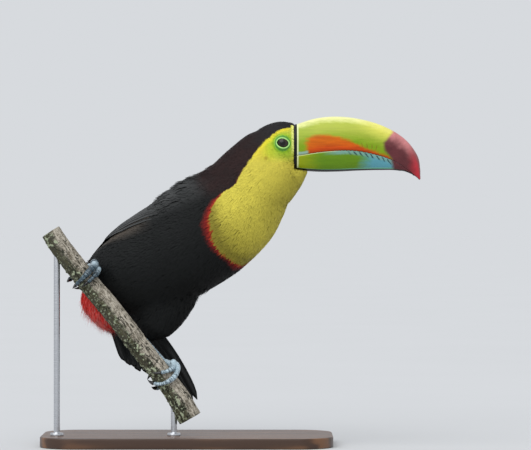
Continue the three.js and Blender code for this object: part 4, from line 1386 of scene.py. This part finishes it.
def perch_piece(rings, around, relief):
    """The cut branch: a tube whose radius takes slow swells, long cracks, fine grain and raised
    patches of lichen from noise, closed by sawn ends of rings that shrink to the middle. The
    attribute lichen is 1 on the patches, crack grows with a crack's depth, low_side runs from 1
    on the upper side to -1 below, and end is the share of the radius on a sawn end, or 2."""
    length = PERCH_FORM.arc[-1]
    t, a = (grid.ravel() for grid in np.meshgrid(np.linspace(0, 1, rings), full_turn(around), indexing="ij"))
    base = PERCH_FORM.surface(t, a)
    unrolled = np.stack([t * length / 3.2, 12.3 * np.cos(a), 12.3 * np.sin(a)], axis=-1)
    swell = (rough_noise(base, 22, 41) - 0.5) * 1.5
    cracks = np.abs(rough_noise(unrolled, 3.4, 43) - 0.5) * 2
    crack = -0.75 * np.exp(-((cracks / 0.09) ** 2)) * ease(noise(base, 16, 47), 0.35, 0.6)
    grain = (rough_noise(unrolled, 1.5, 51) - 0.5) * 0.7
    wound = np.stack([t * length, 12 * np.cos(a), 12 * np.sin(a)], axis=-1)
    scars = -0.45 * ease(noise(wound, [1.6, 7, 7], 57), 0.72, 0.85)
    lichen = ease(rough_noise(base, 3.4, 61, 3), 0.59, 0.65) * ease(noise(base, 24, 67), 0.36, 0.5)
    lichen = lichen * ease(np.cos(a), -0.4, 0.2)
    crust = lichen * (0.35 + 0.8 * rough_noise(base, 1.6, 71, 2))
    rise = relief * (swell + crack + grain + scars + crust)
    points = PERCH_FORM.surface(t, a, np.clip(rise - 0.35, -1.6, 0.85)).reshape(rings, around, 3)
    ends = []
    inward = np.linspace(0.97, 0.06, END_RINGS)
    for ring, way in ((points[0], -1), (points[-1], 1)):
        middle = ring.mean(axis=0)
        along = PERCH_FORM.along[0 if way < 0 else -1] * way
        disc = middle + (ring - middle) * inward[:, None, None] + along * 0.35
        saw = (noise(disc.reshape(-1, 3), [9, 0.8, 9], 73).reshape(END_RINGS, around, 1) - 0.5) * 0.3
        ends.append(disc + along * saw)
    shape, faces = closed_tube(np.concatenate([ends[0][::-1], points, ends[1]]))
    share = np.concatenate([inward[::-1], np.full(rings, 2.0), inward])
    values = {"end": np.append(np.repeat(share, around), [0, 0])}
    for key, column in {"lichen": lichen, "crack": -(crack + scars), "low_side": np.cos(a)}.items():
        values[key] = np.pad(column, (END_RINGS * around, END_RINGS * around + 2))
    return make_mesh("perch_bark", shape, faces, values=values)


BASE = {"length": 330, "width": 150, "thick": 12, "corner": 40, "bevel": 1.5}
ROD = {"radius": 3.5, "collar": 7.5, "high": -146.9, "low": -14.7}
# The rod's outline from below: over its radius or its collar's, and over the base's top.
COLLAR = [(-0.4, 0.02), (0, 0.4), (0, 2.2), (-0.25, 2.75), (-0.8, 3.0)]
SHAFT = [(0.9, 3.0), (0.25, 3.2), (0, 3.7), (0, 4.4)]
SHAFT_END = [(0, -4), (-0.4, -0.3), (-0.9, 0)]
AXIS = 0.3  # the radius at which a turned end closes


def base_piece():
    """The flat base: a rectangle with round corners, drawn in by a quarter circle at its upper
    and lower edges and closed by rings that shrink to the middle."""
    turn = full_turn(240)
    circle = np.stack([np.cos(turn), np.sin(turn)], axis=-1)
    inner = np.array([BASE["length"], BASE["width"]]) / 2 - BASE["corner"]
    rim, quarter = BASE["bevel"], np.linspace(0, np.pi / 2, 7)
    # Share of the full outline, how far it is drawn in, and height over the floor.
    half = [(share, -rim, 0.0) for share in np.linspace(0.02, 0.98, 12)]
    half += [(1.0, -rim * (1 - np.sin(b)), rim * (1 - np.cos(b))) for b in quarter]
    rings = half + [(share, inset, BASE["thick"] - z) for share, inset, z in half[::-1]]
    shapes = []
    for share, inset, z in rings:
        flat = np.sign(circle) * inner + circle * (BASE["corner"] + inset)
        shapes.append(np.column_stack([flat * share, np.full(len(flat), z)]))
    return make_mesh("stand_base_board", *closed_tube(np.stack(shapes)))


def rod_piece(name, x):
    """A steel rod turned on its own axis, with a round collar where it stands on the base."""
    top = np.interp(x, PERCH_FORM.middle[:, 0], PERCH_FORM.middle[:, 2])
    floor = BASE["thick"]
    profile = [(AXIS, floor + 0.02)]
    profile += [(ROD["collar"] + out, floor + z) for out, z in COLLAR]
    profile += [(ROD["radius"] + out, floor + z) for out, z in SHAFT]
    profile += [(ROD["radius"] + out, top + z) for out, z in SHAFT_END]
    profile = np.array([*profile, (AXIS, top)])
    turn = full_turn(72)
    round_x, round_y = x + profile[:, :1] * np.cos(turn), PERCH_Y + profile[:, :1] * np.sin(turn)
    points, faces = closed_tube(np.stack([round_x, round_y, profile[:, 1:] + 0 * turn], axis=-1))
    piece = make_mesh(name, points, faces)
    piece.data.set_sharp_from_angle(angle=0.7)
    return piece


# ---------------- materials

TURN = 6.283  # a whole turn, for waves


class Wire:
    """An output of a material's node that can be reckoned with: + - * / and ** are put in below.
    Each adds a Math node, and its reflected form lets a plain number stand first."""

    def __init__(self, finish, socket):
        self.finish = finish
        self.socket = socket

    def __abs__(self):
        return self.finish.math("ABSOLUTE", self)

    def fraction(self):
        return self.finish.math("FRACT", self)

    def sine(self):
        return self.finish.math("SINE", self)

    def ripple(self):
        """From 0 to 1 and back once in each whole turn."""
        return self.sine() * 0.5 + 0.5


OPERATIONS = {"add": "ADD", "sub": "SUBTRACT", "mul": "MULTIPLY", "truediv": "DIVIDE", "pow": "POWER"}
for key, kind in OPERATIONS.items():
    setattr(Wire, f"__{key}__", lambda wire, other, kind=kind: wire.finish.math(kind, wire, other))
    setattr(Wire, f"__r{key}__", lambda wire, other, kind=kind: wire.finish.math(kind, other, wire))


class Finish:
    """A material under construction, with one Principled shader. Colours go by their names."""

    def __init__(self, name, hues, **constants):
        self.hues = hues
        self.material = bpy.data.materials.new(name)
        self.material.use_nodes = True
        self.tree = self.material.node_tree
        self.tree.nodes.clear()
        self.shader = self.tree.nodes.new("ShaderNodeBsdfPrincipled")
        output = self.tree.nodes.new("ShaderNodeOutputMaterial")
        self.tree.links.new(self.shader.outputs["BSDF"], output.inputs["Surface"])
        self.paint(**constants)

    def plug(self, socket, value):
        """Links a wire to a socket, or sets the socket's own value."""
        value = self.hues[value] if isinstance(value, str) else value
        if isinstance(value, Wire):
            self.tree.links.new(value.socket, socket)
        elif socket.type == "RGBA":
            socket.default_value = (*value[:3], 1)
        else:
            socket.default_value = value

    def node(self, kind, settings, inputs, output=0):
        """Any node: its settings first, then its inputs."""
        node = self.tree.nodes.new("ShaderNode" + kind)
        for key, value in settings.items():
            setattr(node, key, value)
        for key, value in inputs.items():
            self.plug(node.inputs[key], value)
        return Wire(self, node.outputs[output])

    def paint(self, **sockets):
        """Sets the shader's sockets; an underscore stands for a space."""
        for key, value in sockets.items():
            self.plug(self.shader.inputs[key.replace("_", " ")], value)
        return self.material

    def math(self, kind, *terms):
        return self.node("Math", {"operation": kind}, dict(enumerate(terms)))

    def read(self, name, output="Fac"):
        return self.node("Attribute", {"attribute_name": name}, {}, output)

    def place(self):
        return self.node("TexCoord", {}, {}, "Object")

    def split(self, vector):
        first = self.node("SeparateXYZ", {}, {0: vector})
        return [Wire(self, socket) for socket in first.socket.node.outputs]

    def spots(self, uv_map):
        """The two numbers of a UV map."""
        return self.split(self.node("UVMap", {"uv_map": uv_map}, {}))[:2]

    def vector(self, x, y, z):
        return self.node("CombineXYZ", {}, {0: x, 1: y, 2: z})

    def noise(self, vector, scale, detail=3.0, rough=0.6, bend=0.0):
        inputs = {"Vector": vector, "Scale": scale, "Detail": detail, "Roughness": rough, "Distortion": bend}
        return self.node("TexNoise", {}, inputs)

    def grain(self, parts, sizes, **more):
        """Noise with a size of its own along each of three directions."""
        return self.noise(self.vector(*(part * size for part, size in zip(parts, sizes))), 1.0, **more)

    def ease(self, value, low, high, start=0.0, end=1.0):
        inputs = {"Value": value, "From Min": low, "From Max": high, "To Min": start, "To Max": end}
        return self.node("MapRange", {"interpolation_type": "SMOOTHSTEP"}, inputs)

    def swing(self, noise, start, end):
        """From start to end, over the values that a noise mostly takes."""
        return self.ease(noise, 0.3, 0.7, start, end)

    def mix(self, first, second, share):
        return self.node("Mix", {"data_type": "RGBA"}, {0: share, 6: first, 7: second}, 2)

    def layers(self, tint, *coats):
        """A colour with others laid over it in turn, each with its share."""
        for coat, share in coats:
            tint = self.mix(tint, coat, share)
        return tint

    def tone(self, tint, strength):
        """A colour made lighter or darker."""
        return self.node("VectorMath", {"operation": "SCALE"}, {0: tint, "Scale": strength})

    def bump(self, height, distance, strength=1.0):
        """Relief from a height of 0 to 1; the distance is metres."""
        return self.node("Bump", {}, {"Strength": strength, "Distance": distance, "Height": height})


def feather_finish(name, rough, barbs, sheen):
    """Feathers: the tint, with hair-fine streaks along each vane and, on broad ones, barbs that
    slant from the shaft."""
    f = Finish(name, {}, Specular_IOR_Level=sheen)
    across, down = f.spots("vane")
    seed_x, seed_y = f.spots("OFBake")
    grain = f.noise(f.vector(across * 7, down * 1.6, seed_x * 260 + seed_y * 410), 1.0)
    if barbs:
        slant = abs(across - 0.5) * 2 * barbs * 0.16
        grain = grain * 0.6 + ((down * barbs - slant) * TURN).ripple() * 0.4
    tint = f.tone(f.read("tint", "Color"), f.ease(grain, 0.25, 0.75, 0.88, 1.12))
    roughness = f.ease(grain, 0.2, 0.8, rough - 0.08, rough + 0.1)
    return f.paint(Base_Color=tint, Roughness=roughness, Normal=f.bump(grain, 0.0002, 0.5))


def skin_finish():
    """Skin between the feathers: the markings, darker, with fine bumps."""
    f = Finish("toucan skin", {}, Roughness=0.8, Specular_IOR_Level=0.2)
    pores = f.noise(f.place(), 900)
    tint = f.tone(f.read("tint", "Color"), f.swing(pores, 0.8, 0.95))
    return f.paint(Base_Color=tint, Normal=f.bump(pores, 0.0004))


def bill_finish(name, hues, markings, lower):
    """What both halves of the bill share. Their own markings come first, and then the dark tip,
    which is rosy above as a painted highlight and red along the mouth, the black band round the
    base with a pale line next to it, a long grain and a waxy, slightly worn surface. Lengths are
    millimetres."""
    f = Finish(name, hues, Specular_IOR_Level=0.22)
    spot = f.place()
    parts = f.split(spot)
    x = parts[0] * 1000
    long_grain = f.grain(parts, (30, 420, 420))
    tint = markings(f, x, f.grain(parts, (90, 220, 220)) - 0.5, long_grain)
    share = f.read("share") * 0.4 if lower else f.read("share")
    edge = f.noise(spot, 160) - 0.5
    # Painted highlight: the tip's upper side is painted rosy.
    ridge = f.ease(share + edge * 0.3, 0.42, 1.0) * f.ease(x, 262, 246, 0.3, 1.0)
    keen = f.ease(share + edge * 0.2, 0.98, 0.7) * f.ease(x + edge * 6, 247, 262)
    rosy = f.layers(
        "tip_dark",
        ("tip_rose_highlight", ridge),
        ("tip_red", keen * 0.9),
        ("bill_black", f.ease(f.read("over"), 0.9, 0.3) * f.ease(x, 249, 254) * 0.85),
    )
    rosy = f.tone(rosy, f.swing(f.noise(spot, 90), 0.9, 1.1))
    pale_line = f.ease(x, 124.0, 124.5) * f.ease(x, 125.0, 126.4, 1.0, 0.0)
    tint = f.layers(
        tint, (rosy, f.ease(f.read("tip") + edge * 3, -3.2, 2.8)), ("bill_pale", pale_line * 0.85),
    )
    tint = f.tone(f.mix("bill_black", tint, f.ease(x, 123.8, 124.4)), f.swing(long_grain, 0.94, 1.06))
    if lower:  # a black line along the lower edge, which thins towards the tip
        line = f.ease(f.read("rest") - f.ease(x, 135, 232, 2.6, 1.5), 0.25, -0.25)
        tint = f.mix(tint, "bill_black", line)
    worn = f.noise(spot, 700, rough=0.65)
    roughness = f.swing(worn * 0.5 + long_grain * 0.5, 0.3, 0.44)
    relief = f.bump(long_grain * 0.75 + worn * 0.25, 0.00022, 0.5)
    return f.paint(Base_Color=tint, Roughness=roughness, Normal=relief)


def upper_markings(f, x, drift, long_grain):
    """The upper half: lime, yellower along the ridge and with a painted highlight on its top, an
    orange blaze that runs out along the mouth, a pale blue corner and faint tooth marks."""
    over, share = f.read("over"), f.read("share")
    blaze = f.ease(f.read("blaze") + drift * 6, -2.4, 2.6)
    orange = f.mix("bill_orange", "bill_ember", f.ease(over + drift * 8, 13, 1))
    orange = f.tone(orange, f.swing(long_grain, 0.9, 1.12))
    corner = f.ease(over + drift * 3, 4.2, 2.6) * f.ease(x + drift * 8, 137.5, 134.0)
    beat = ((x / 5.3) * TURN + drift * 5).sine()
    row = f.ease(x, 190, 197) * f.ease(x, 219, 214) * f.ease(over, 4.6, 6.2) * f.ease(over, 11, 8.6)
    return f.layers(
        "bill_green",
        ("bill_lime", f.ease(share + drift * 0.25, 0.2, 0.7)),
        ("bill_green", f.ease(x, 152, 128) * 0.4),
        # Painted highlight along the top of the ridge.
        ("bill_ridge_highlight", f.ease(share + drift * 0.2, 0.76, 1.0) * 0.9),
        ("bill_yellow", f.ease(x, 180, 224) * f.ease(share, 0.45, 0.9) * 0.75),
        (orange, blaze * f.ease(f.read("tip"), -3, 0, 1.0, 0.35)),
        ("bill_blue", corner * 0.9),
        ("bill_mark", f.ease(beat, 0.72, 0.96) * row * 0.55),
        ("bill_mark", f.ease(over, 0.9, 0.2) * 0.5),
    )


def lower_markings(f, x, drift, _):
    """The lower half: olive at the base through green and teal to pale blue, a blue toothed band
    under the mouth and a pale line over the black lower edge."""
    over, rest = f.read("over"), f.read("rest")
    beat = ((x - over * 0.9) / 6.4 * TURN + drift * 4).sine()
    teeth = f.ease(beat, 0.2, 0.8) * f.ease(over, 5.6, 3.6) * f.ease(over, 0.4, 1.2) * f.ease(x, 174, 190)
    return f.layers(
        "low_green",
        ("low_olive", f.ease(x + drift * 14 + rest * 0.3, 158, 128)),
        ("low_teal", f.ease(x + drift * 16 - over * 0.6, 183, 207)),
        ("low_blue", f.ease(x + drift * 14 + over * 0.4, 196, 216)),
        ("low_band", f.ease(over + drift * 3, 5.6, 2.4) * f.ease(x, 150, 172) * 0.85),
        ("low_mark", teeth * 0.85),
        ("bill_pale", f.ease(over, 1.1, 0.4) * f.ease(x, 178, 160) * 0.65),
        ("low_line", f.ease(rest, 3.2, 2.4) * 0.8),
    )


def eye_finish(hues):
    """The eye: black in the middle, a dark brown iris with fine spokes and a black rim."""
    f = Finish("eye", hues, Roughness=0.04, IOR=1.42)
    out = f.read("out")
    spokes = f.noise(f.place(), 1300, rough=0.7)
    iris = f.tone("iris", f.swing(spokes, 0.5, 1.5))
    rim = ("pupil", f.ease(out, 4.9, 5.6))
    return f.paint(Base_Color=f.layers("pupil", (iris, f.ease(out + spokes * 0.2, 3.0, 3.5)), rim))


def lid_finish(hues):
    """The bare ring: dark at the lid's edge, pale green on the rim, darker green round the rim, which
    is partly the bare skin's colour and partly painted shade, and lime towards the feathers, finely folded."""
    f = Finish("eye ring", hues, Specular_IOR_Level=0.4)
    out = f.read("out")
    drift = f.noise(f.place(), 420)
    tint = f.layers(
        "pupil",
        # Partly painted shade: the darker green round the raised rim.
        ("ring_shade", f.ease(out + drift * 0.4, 5.8, 6.2)),
        ("ring", f.ease(out + drift * 0.5, 6.1, 6.6) * f.ease(out + drift * 0.8, 7.95, 7.35)),
        ("lime", f.ease(out + drift * 1.2, 9.0, 10.2) * 0.85),
    )
    tint, roughness = f.tone(tint, f.swing(drift, 0.85, 1.12)), f.swing(drift, 0.4, 0.55)
    return f.paint(Base_Color=tint, Roughness=roughness, Normal=f.bump(f.noise(f.place(), 2200, 2), 0.00015))


def leg_finish(hues):
    """Legs and feet: blue-grey plates, with a painted highlight on the first plates of each part,
    at the knuckles, dark blotches and dark seams between the plates, which are strongest on the
    upper foot."""
    f = Finish("leg scales", hues, Specular_IOR_Level=0.6)
    plates = f.spots("scales")[1] * PLATES
    part = plates.fraction()
    worn, blotch = f.noise(f.place(), 500), f.noise(f.place(), 190)
    upper = f.ease(f.split(f.place())[2], 0.12, 0.17)
    seam = f.ease(part + (worn - 0.5) * 0.3 + (blotch - 0.5) * 0.3, 0.74, 0.92)
    tint = f.layers(
        "leg",
        ("leg_pale_and_highlight", f.ease(worn + (0.5 - part) * 0.3 + 0.08 - upper * 0.3, 0.3, 0.75)),
        ("leg_dark", f.ease(blotch, 0.5, 0.66) * (0.15 + upper * 0.65)),
        ("leg_dark", seam * (0.3 + upper * 0.65)),
        # Painted highlight: the first plates of each toe, link, ball and leg, at the knuckles, are painted
        # pale.
        ("leg_pale_and_highlight", f.ease(plates, 6.0, 2.0) * f.ease(blotch, 0.75, 0.55) * 0.9),
    )
    relief = f.bump(worn - seam * 0.8, 0.0002)
    return f.paint(Base_Color=tint, Roughness=f.swing(worn, 0.2, 0.36), Normal=relief)


def claw_finish(hues):
    """Claws: black horn, a little paler at the root and along fine grooves."""
    f = Finish("claw horn", hues, Specular_IOR_Level=0.6)
    grain = f.noise(f.place(), 900)
    tint = f.mix("claw_root", "claw", f.ease(f.read("tip") + grain * 0.2, 0.05, 0.3))
    return f.paint(Base_Color=tint, Roughness=f.swing(grain, 0.22, 0.38), Normal=f.bump(grain, 0.0001))


def bark_finish(hues):
    """Bark: grey-brown, paler above, mossy and darker below, dark in the cracks, with grey-green
    lichen, and pale ringed wood at the sawn ends."""
    f = Finish("bark", hues, Specular_IOR_Level=0.2)
    spot = f.place()
    slow, mid, fine = f.noise(spot, 45, 4), f.noise(spot, 170, 4, 0.65), f.noise(spot, 800, rough=0.65)
    x, y, z = f.split(spot)
    lengthwise = (x * 0.64 - z * 0.77, y, x * 0.77 + z * 0.64)  # turned to lie along the branch
    fibre = f.grain(lengthwise, (110, 620, 620), detail=4, rough=0.65, bend=0.6)
    low_side, lichen, end = f.read("low_side"), f.read("lichen"), f.read("end")
    speck = f.ease(f.noise(spot, 330, rough=0.7), 0.53, 0.62) * f.ease(slow, 0.38, 0.5)
    moss = f.layers(
        "bark_moss",
        ("bark_deep", f.ease(mid * 0.5 + fibre * 0.5, 0.42, 0.6)),
        ("bark_dark", f.ease(fibre, 0.56, 0.7) * 0.6),
        ("lichen", speck * 0.8),
    )
    mossy = f.ease(low_side + (slow - 0.5) * 1.3 + (mid - 0.5) * 0.9, -0.3, 0.15)
    crust = f.mix("lichen", "bark_pale", f.ease(fine, 0.5, 0.75))
    bark = f.layers(
        "bark_dark",
        ("bark_pale", f.ease(mid * 0.3 + fine * 0.3 + fibre * 0.4, 0.42, 0.57)),
        (moss, mossy * 0.92),
        ("bark_deep", f.ease(f.read("crack"), 0.12, 0.6) * 0.85),
        (crust, f.ease(lichen + fine * 0.4, 0.5, 0.9) * 0.8),
    )
    wood = f.layers(
        "wood_pale",
        ("wood_ring", (end * 52 + mid * 3).ripple() * 0.6),
        ("bark_deep", f.ease(end, 0.88, 0.95)),
        (bark, f.ease(end, 1.0, 1.2)),
    )
    relief = f.bump(fine * 0.35 + mid * 0.25 + fibre * 0.4, 0.0012)
    return f.paint(Base_Color=wood, Roughness=f.swing(fine, 0.78, 0.95), Normal=relief)


def board_finish(hues):
    """The base: dark wood with a long grain and a thin satin varnish."""
    f = Finish("base wood", hues, Specular_IOR_Level=0.4, Coat_Weight=0.25, Coat_Roughness=0.25)
    parts = f.split(f.place())
    wave = f.grain(parts, (5, 40, 40), rough=0.5)
    grain = (parts[1] * 260 + wave * 9).ripple()
    pores = f.grain(parts, (60, 1500, 1500))
    light = ("base_light", f.ease(grain * 0.55 + wave * 0.45, 0.25, 0.8))
    tint = f.layers("base_dark", light, ("base_dark", f.ease(pores, 0.56, 0.7) * 0.6))
    return f.paint(Base_Color=tint, Roughness=f.swing(pores, 0.38, 0.52), Normal=f.bump(pores, 0.00012, 0.5))


def steel_finish(hues):
    """The rods: brushed steel, with fine scratches round them."""
    f = Finish("rod steel", hues, Metallic=1.0)
    scratch = f.grain(f.split(f.place()), (60, 60, 5000))
    tint = f.tone("steel", f.swing(scratch, 0.92, 1.06))
    relief = f.bump(scratch, 0.00004, 0.4)
    return f.paint(Base_Color=tint, Roughness=f.swing(scratch, 0.24, 0.36), Normal=relief)


def floor_finish(tint):
    """The plain pale floor."""
    f = Finish("floor", {}, Roughness=1.0, Specular_IOR_Level=0.0)
    return f.paint(Base_Color=f.tone(tint, f.swing(f.noise(f.place(), 3, 2, 0.5), 0.995, 1.005)))


# ---------------- settings

class ToucanColours(bpy.types.PropertyGroup):
    """The colours of the plumage, the bare parts, the perch and the stand."""

    __annotations__ = {
        key: bpy.props.FloatVectorProperty(
            name=key.replace("_", " ").capitalize(), description=about,
            subtype="COLOR", size=3, min=0, max=1, default=colour(*screen),
        )
        for key, (about, *screen) in HUES.items()
    }


class ToucanSizes(bpy.types.PropertyGroup):
    """The sizes and amounts that a user would change."""

    feather_length: bpy.props.FloatProperty(
        name="Feather length",
        description="How long the feathers are, as a share of their length in life",
        default=1.0, min=0.5, max=1.6, subtype="FACTOR",
    )
    feather_density: bpy.props.FloatProperty(
        name="Feather density",
        description="How close the feathers stand; twice as close is four times as many",
        default=1.0, min=0.3, max=1.5, subtype="FACTOR",
    )
    coat_depth: bpy.props.FloatProperty(
        name="Coat depth",
        description="How deep the skin lies under the feathers on the body",
        default=COAT_DEPTH, min=0.001, max=0.005, unit="LENGTH", precision=4,
    )
    skin_step: bpy.props.FloatProperty(
        name="Skin step",
        description="The size of the skin's faces",
        default=0.0016, min=0.0008, max=0.004, unit="LENGTH", precision=4,
    )
    bark_relief: bpy.props.FloatProperty(
        name="Bark relief",
        description="How rough the bark is",
        default=1.0, min=0.0, max=1.2, subtype="FACTOR",
    )
    sun: bpy.props.FloatProperty(
        name="Main light",
        description="How strong the large soft light is",
        default=2.0, min=0.0, max=5.0,
    )


def read_hues(context):
    """Every colour as plain numbers."""
    colours = context.scene.toucan_colours
    return {key: tuple(getattr(colours, key)) for key in HUES}


# ---------------- steps

SIDES = {"right": 1, "left": -1}  # the right side is the one that the bird shows
QUICK_PERCH, FULL_PERCH = (200, 100), (420, 190)  # the perch's rings, and points round each


class Step:
    """What all the steps share."""

    bl_options = {"REGISTER", "UNDO"}


class TOUCAN_OT_skin(Step, bpy.types.Operator):
    """Make the one skin under all the feathers"""

    bl_idname = "toucan.skin"
    bl_label = "Skin"

    def execute(self, context):
        sizes = context.scene.toucan_sizes
        points, faces = skin_shape(sizes.skin_step / MM, sizes.coat_depth / COAT_DEPTH)
        piece = make_mesh("skin", points, faces, tints=marks(Place(points), read_hues(context)))
        flesh = ["head", "neck", "trunk", "rump", "thigh_right", "thigh_left"]
        finished(piece, skin_finish(), "black_feathers", *flesh, "tail_coverts_under", "tail_coverts_upper")
        return {"FINISHED"}


class TOUCAN_OT_coat(Step, bpy.types.Operator):
    """Lay the small feathers over the skin"""

    bl_idname = "toucan.coat"
    bl_label = "Coat"

    def execute(self, context):
        sizes, hues = context.scene.toucan_sizes, read_hues(context)
        hair = feather_finish("hair-like feathers", rough=0.68, barbs=0, sheen=0.25)
        broad = feather_finish("broad feathers", rough=0.66, barbs=9, sheen=0.25)
        slots = {"face": "yellow", "bib": "yellow", "undertail": "red", "uppertail": "white"}
        roots = coat_roots(sizes.feather_density * (1.0))
        for i, (name, kind, chosen) in enumerate(coat_parts(Place(roots))):
            rng = np.random.default_rng(SEED + 100 + i)
            piece = coat_piece(name, kind, roots[chosen], hues, sizes, rng)
            slot = slots.get(name.split("_")[1], "black") + "_feathers"
            finished(piece, hair if kind is LOCK else broad, slot)
        return {"FINISHED"}


class TOUCAN_OT_wings(Step, bpy.types.Operator):
    """Lay the large feathers of both folded wings"""

    bl_idname = "toucan.wings"
    bl_label = "Wings"

    def execute(self, context):
        quill = feather_finish("wing feathers", rough=0.6, barbs=46, sheen=0.28)
        for side, sign in SIDES.items():
            piece = wing_piece("wing_" + side + "_feathers", sign, read_hues(context))
            finished(piece, quill, "black_feathers", "wing_" + side)
        return {"FINISHED"}


class TOUCAN_OT_tail(Step, bpy.types.Operator):
    """Lay the tail feathers"""

    bl_idname = "toucan.tail"
    bl_label = "Tail"

    def execute(self, context):
        quill = feather_finish("tail feathers", rough=0.52, barbs=60, sheen=0.3)
        finished(tail_piece(read_hues(context)), quill, "black_feathers", "tail")
        return {"FINISHED"}


class TOUCAN_OT_bill(Step, bpy.types.Operator):
    """Make both halves of the bill"""

    bl_idname = "toucan.bill"
    bl_label = "Bill"

    def execute(self, context):
        hues = read_hues(context)
        upper = bill_finish("upper bill", hues, upper_markings, lower=False)
        lower = bill_finish("lower bill", hues, lower_markings, lower=True)
        finished(mandible(1), upper, "bill_upper", "bill_upper")
        finished(mandible(-1), lower, "bill_lower", "bill_lower")
        return {"FINISHED"}


class TOUCAN_OT_eyes(Step, bpy.types.Operator):
    """Make the eyes and the bare rings round them"""

    bl_idname = "toucan.eyes"
    bl_label = "Eyes"

    def execute(self, context):
        hues = read_hues(context)
        ball, ring = eye_finish(hues), lid_finish(hues)
        for side, sign in SIDES.items():
            finished(eyeball("eye_" + side + "_ball", sign), ball, "eye", "eye_" + side)
            finished(lid_ring("eye_" + side + "_ring", sign), ring, "yellow_feathers")
        return {"FINISHED"}


class TOUCAN_OT_feet(Step, bpy.types.Operator):
    """Make the legs, the feet and the claws"""

    bl_idname = "toucan.feet"
    bl_label = "Feet"

    def execute(self, context):
        hues = read_hues(context)
        scales, horn = leg_finish(hues), claw_finish(hues)
        for side, toes in TOES.items():
            finished(foot_piece(side), scales, "leg_skin", "foot_" + side)
            finished(tarsus_piece(side), scales, "leg_skin", "tarsus_" + side)
            for toe in toes:
                finished(claw_piece(side, toe), horn, "claw", "claw_" + side + "_" + toe)
        return {"FINISHED"}


class TOUCAN_OT_perch(Step, bpy.types.Operator):
    """Make the cut branch"""

    bl_idname = "toucan.perch"
    bl_label = "Perch"

    def execute(self, context):
        rings, around = FULL_PERCH
        piece = perch_piece(rings, around, context.scene.toucan_sizes.bark_relief)
        finished(piece, bark_finish(read_hues(context)), "bark", "perch")
        return {"FINISHED"}


class TOUCAN_OT_stand(Step, bpy.types.Operator):
    """Make the display stand"""

    bl_idname = "toucan.stand"
    bl_label = "Stand"

    def execute(self, context):
        hues = read_hues(context)
        finished(base_piece(), board_finish(hues), "base_wood", "stand_base")
        steel = steel_finish(hues)
        for name in ("high", "low"):
            piece = rod_piece("stand_rod_" + name + "_steel", ROD[name])
            finished(piece, steel, "rod_steel", "stand_rod_" + name)
        return {"FINISHED"}


SKY = (0.679, 0.701, 0.730)  # the pale backdrop's light
VIEW = {"x": 0.0887, "y": -3.353, "z": 0.2497, "lens": 200, "sensor": 36, "reach": 300}
SUN = {"wide": 70, "tilt": 42, "turn": -26}
FLOOR = 60000  # half the floor's width, in millimetres


class TOUCAN_OT_stage(Step, bpy.types.Operator):
    """Make the floor, the soft light and the camera"""

    bl_idname = "toucan.stage"
    bl_label = "Stage"

    def execute(self, context):
        scene = context.scene
        world = bpy.data.worlds.new("studio")
        world.use_nodes = True
        world.node_tree.nodes["Background"].inputs["Color"].default_value = (*SKY, 1)
        scene.world = world
        light = bpy.data.lights.new("main light", "SUN")
        light.energy = scene.toucan_sizes.sun
        light.angle = np.radians(SUN["wide"])
        put("main light", light).rotation_euler = (np.radians(SUN["tilt"]), 0, np.radians(SUN["turn"]))
        # The floor gives back as much light as the backdrop shows, so no edge shows between them.
        falling = scene.toucan_sizes.sun * np.cos(np.radians(SUN["tilt"])) / np.pi
        grid = np.linspace(-FLOOR, FLOOR, 3)
        x, y, z = (axis.ravel() for axis in np.meshgrid(grid, grid, 0, indexing="ij"))
        corner = np.array([0, 1, 3, 4])
        faces = np.stack([corner, corner + 3, corner + 4, corner + 1], axis=-1)
        floor = make_mesh("floor", np.stack([x, y, z], axis=-1), faces, smooth=False)
        floor.data.materials.append(floor_finish(tuple(c / (c + falling) for c in SKY)))
        lens = bpy.data.cameras.new("camera")
        lens.lens, lens.sensor_width, lens.clip_end = VIEW["lens"], VIEW["sensor"], VIEW["reach"]
        scene.camera = put("camera", lens)
        scene.camera.location = (VIEW["x"], VIEW["y"], VIEW["z"])
        scene.camera.rotation_euler = (np.pi / 2, 0, 0)
        scene.view_settings.view_transform = "Standard"
        return {"FINISHED"}


STEPS = [
    TOUCAN_OT_skin,
    TOUCAN_OT_coat,
    TOUCAN_OT_wings,
    TOUCAN_OT_tail,
    TOUCAN_OT_bill,
    TOUCAN_OT_eyes,
    TOUCAN_OT_feet,
    TOUCAN_OT_perch,
    TOUCAN_OT_stand,
    TOUCAN_OT_stage,
]


class TOUCAN_PT_panel(bpy.types.Panel):
    """The settings and the steps"""

    bl_idname = "TOUCAN_PT_panel"
    bl_label = "Toucan"
    bl_space_type = "VIEW_3D"
    bl_region_type = "UI"
    bl_category = "Toucan"

    def draw(self, context):
        for group in (context.scene.toucan_sizes, context.scene.toucan_colours):
            box = self.layout.box()
            for key in type(group).__annotations__:
                box.prop(group, key)
        for step in STEPS:
            self.layout.operator(step.bl_idname)


CLASSES = [ToucanColours, ToucanSizes, *STEPS, TOUCAN_PT_panel]


def register():
    for item in CLASSES:
        bpy.utils.register_class(item)
    bpy.types.Scene.toucan_colours = bpy.props.PointerProperty(type=ToucanColours)
    bpy.types.Scene.toucan_sizes = bpy.props.PointerProperty(type=ToucanSizes)


def unregister():
    del bpy.types.Scene.toucan_sizes
    del bpy.types.Scene.toucan_colours
    for item in reversed(CLASSES):
        bpy.utils.unregister_class(item)


def main():
    register()
    for step in STEPS:
        getattr(bpy.ops.toucan, step.bl_idname.split(".")[1])()


if __name__ == "__main__":
    main()
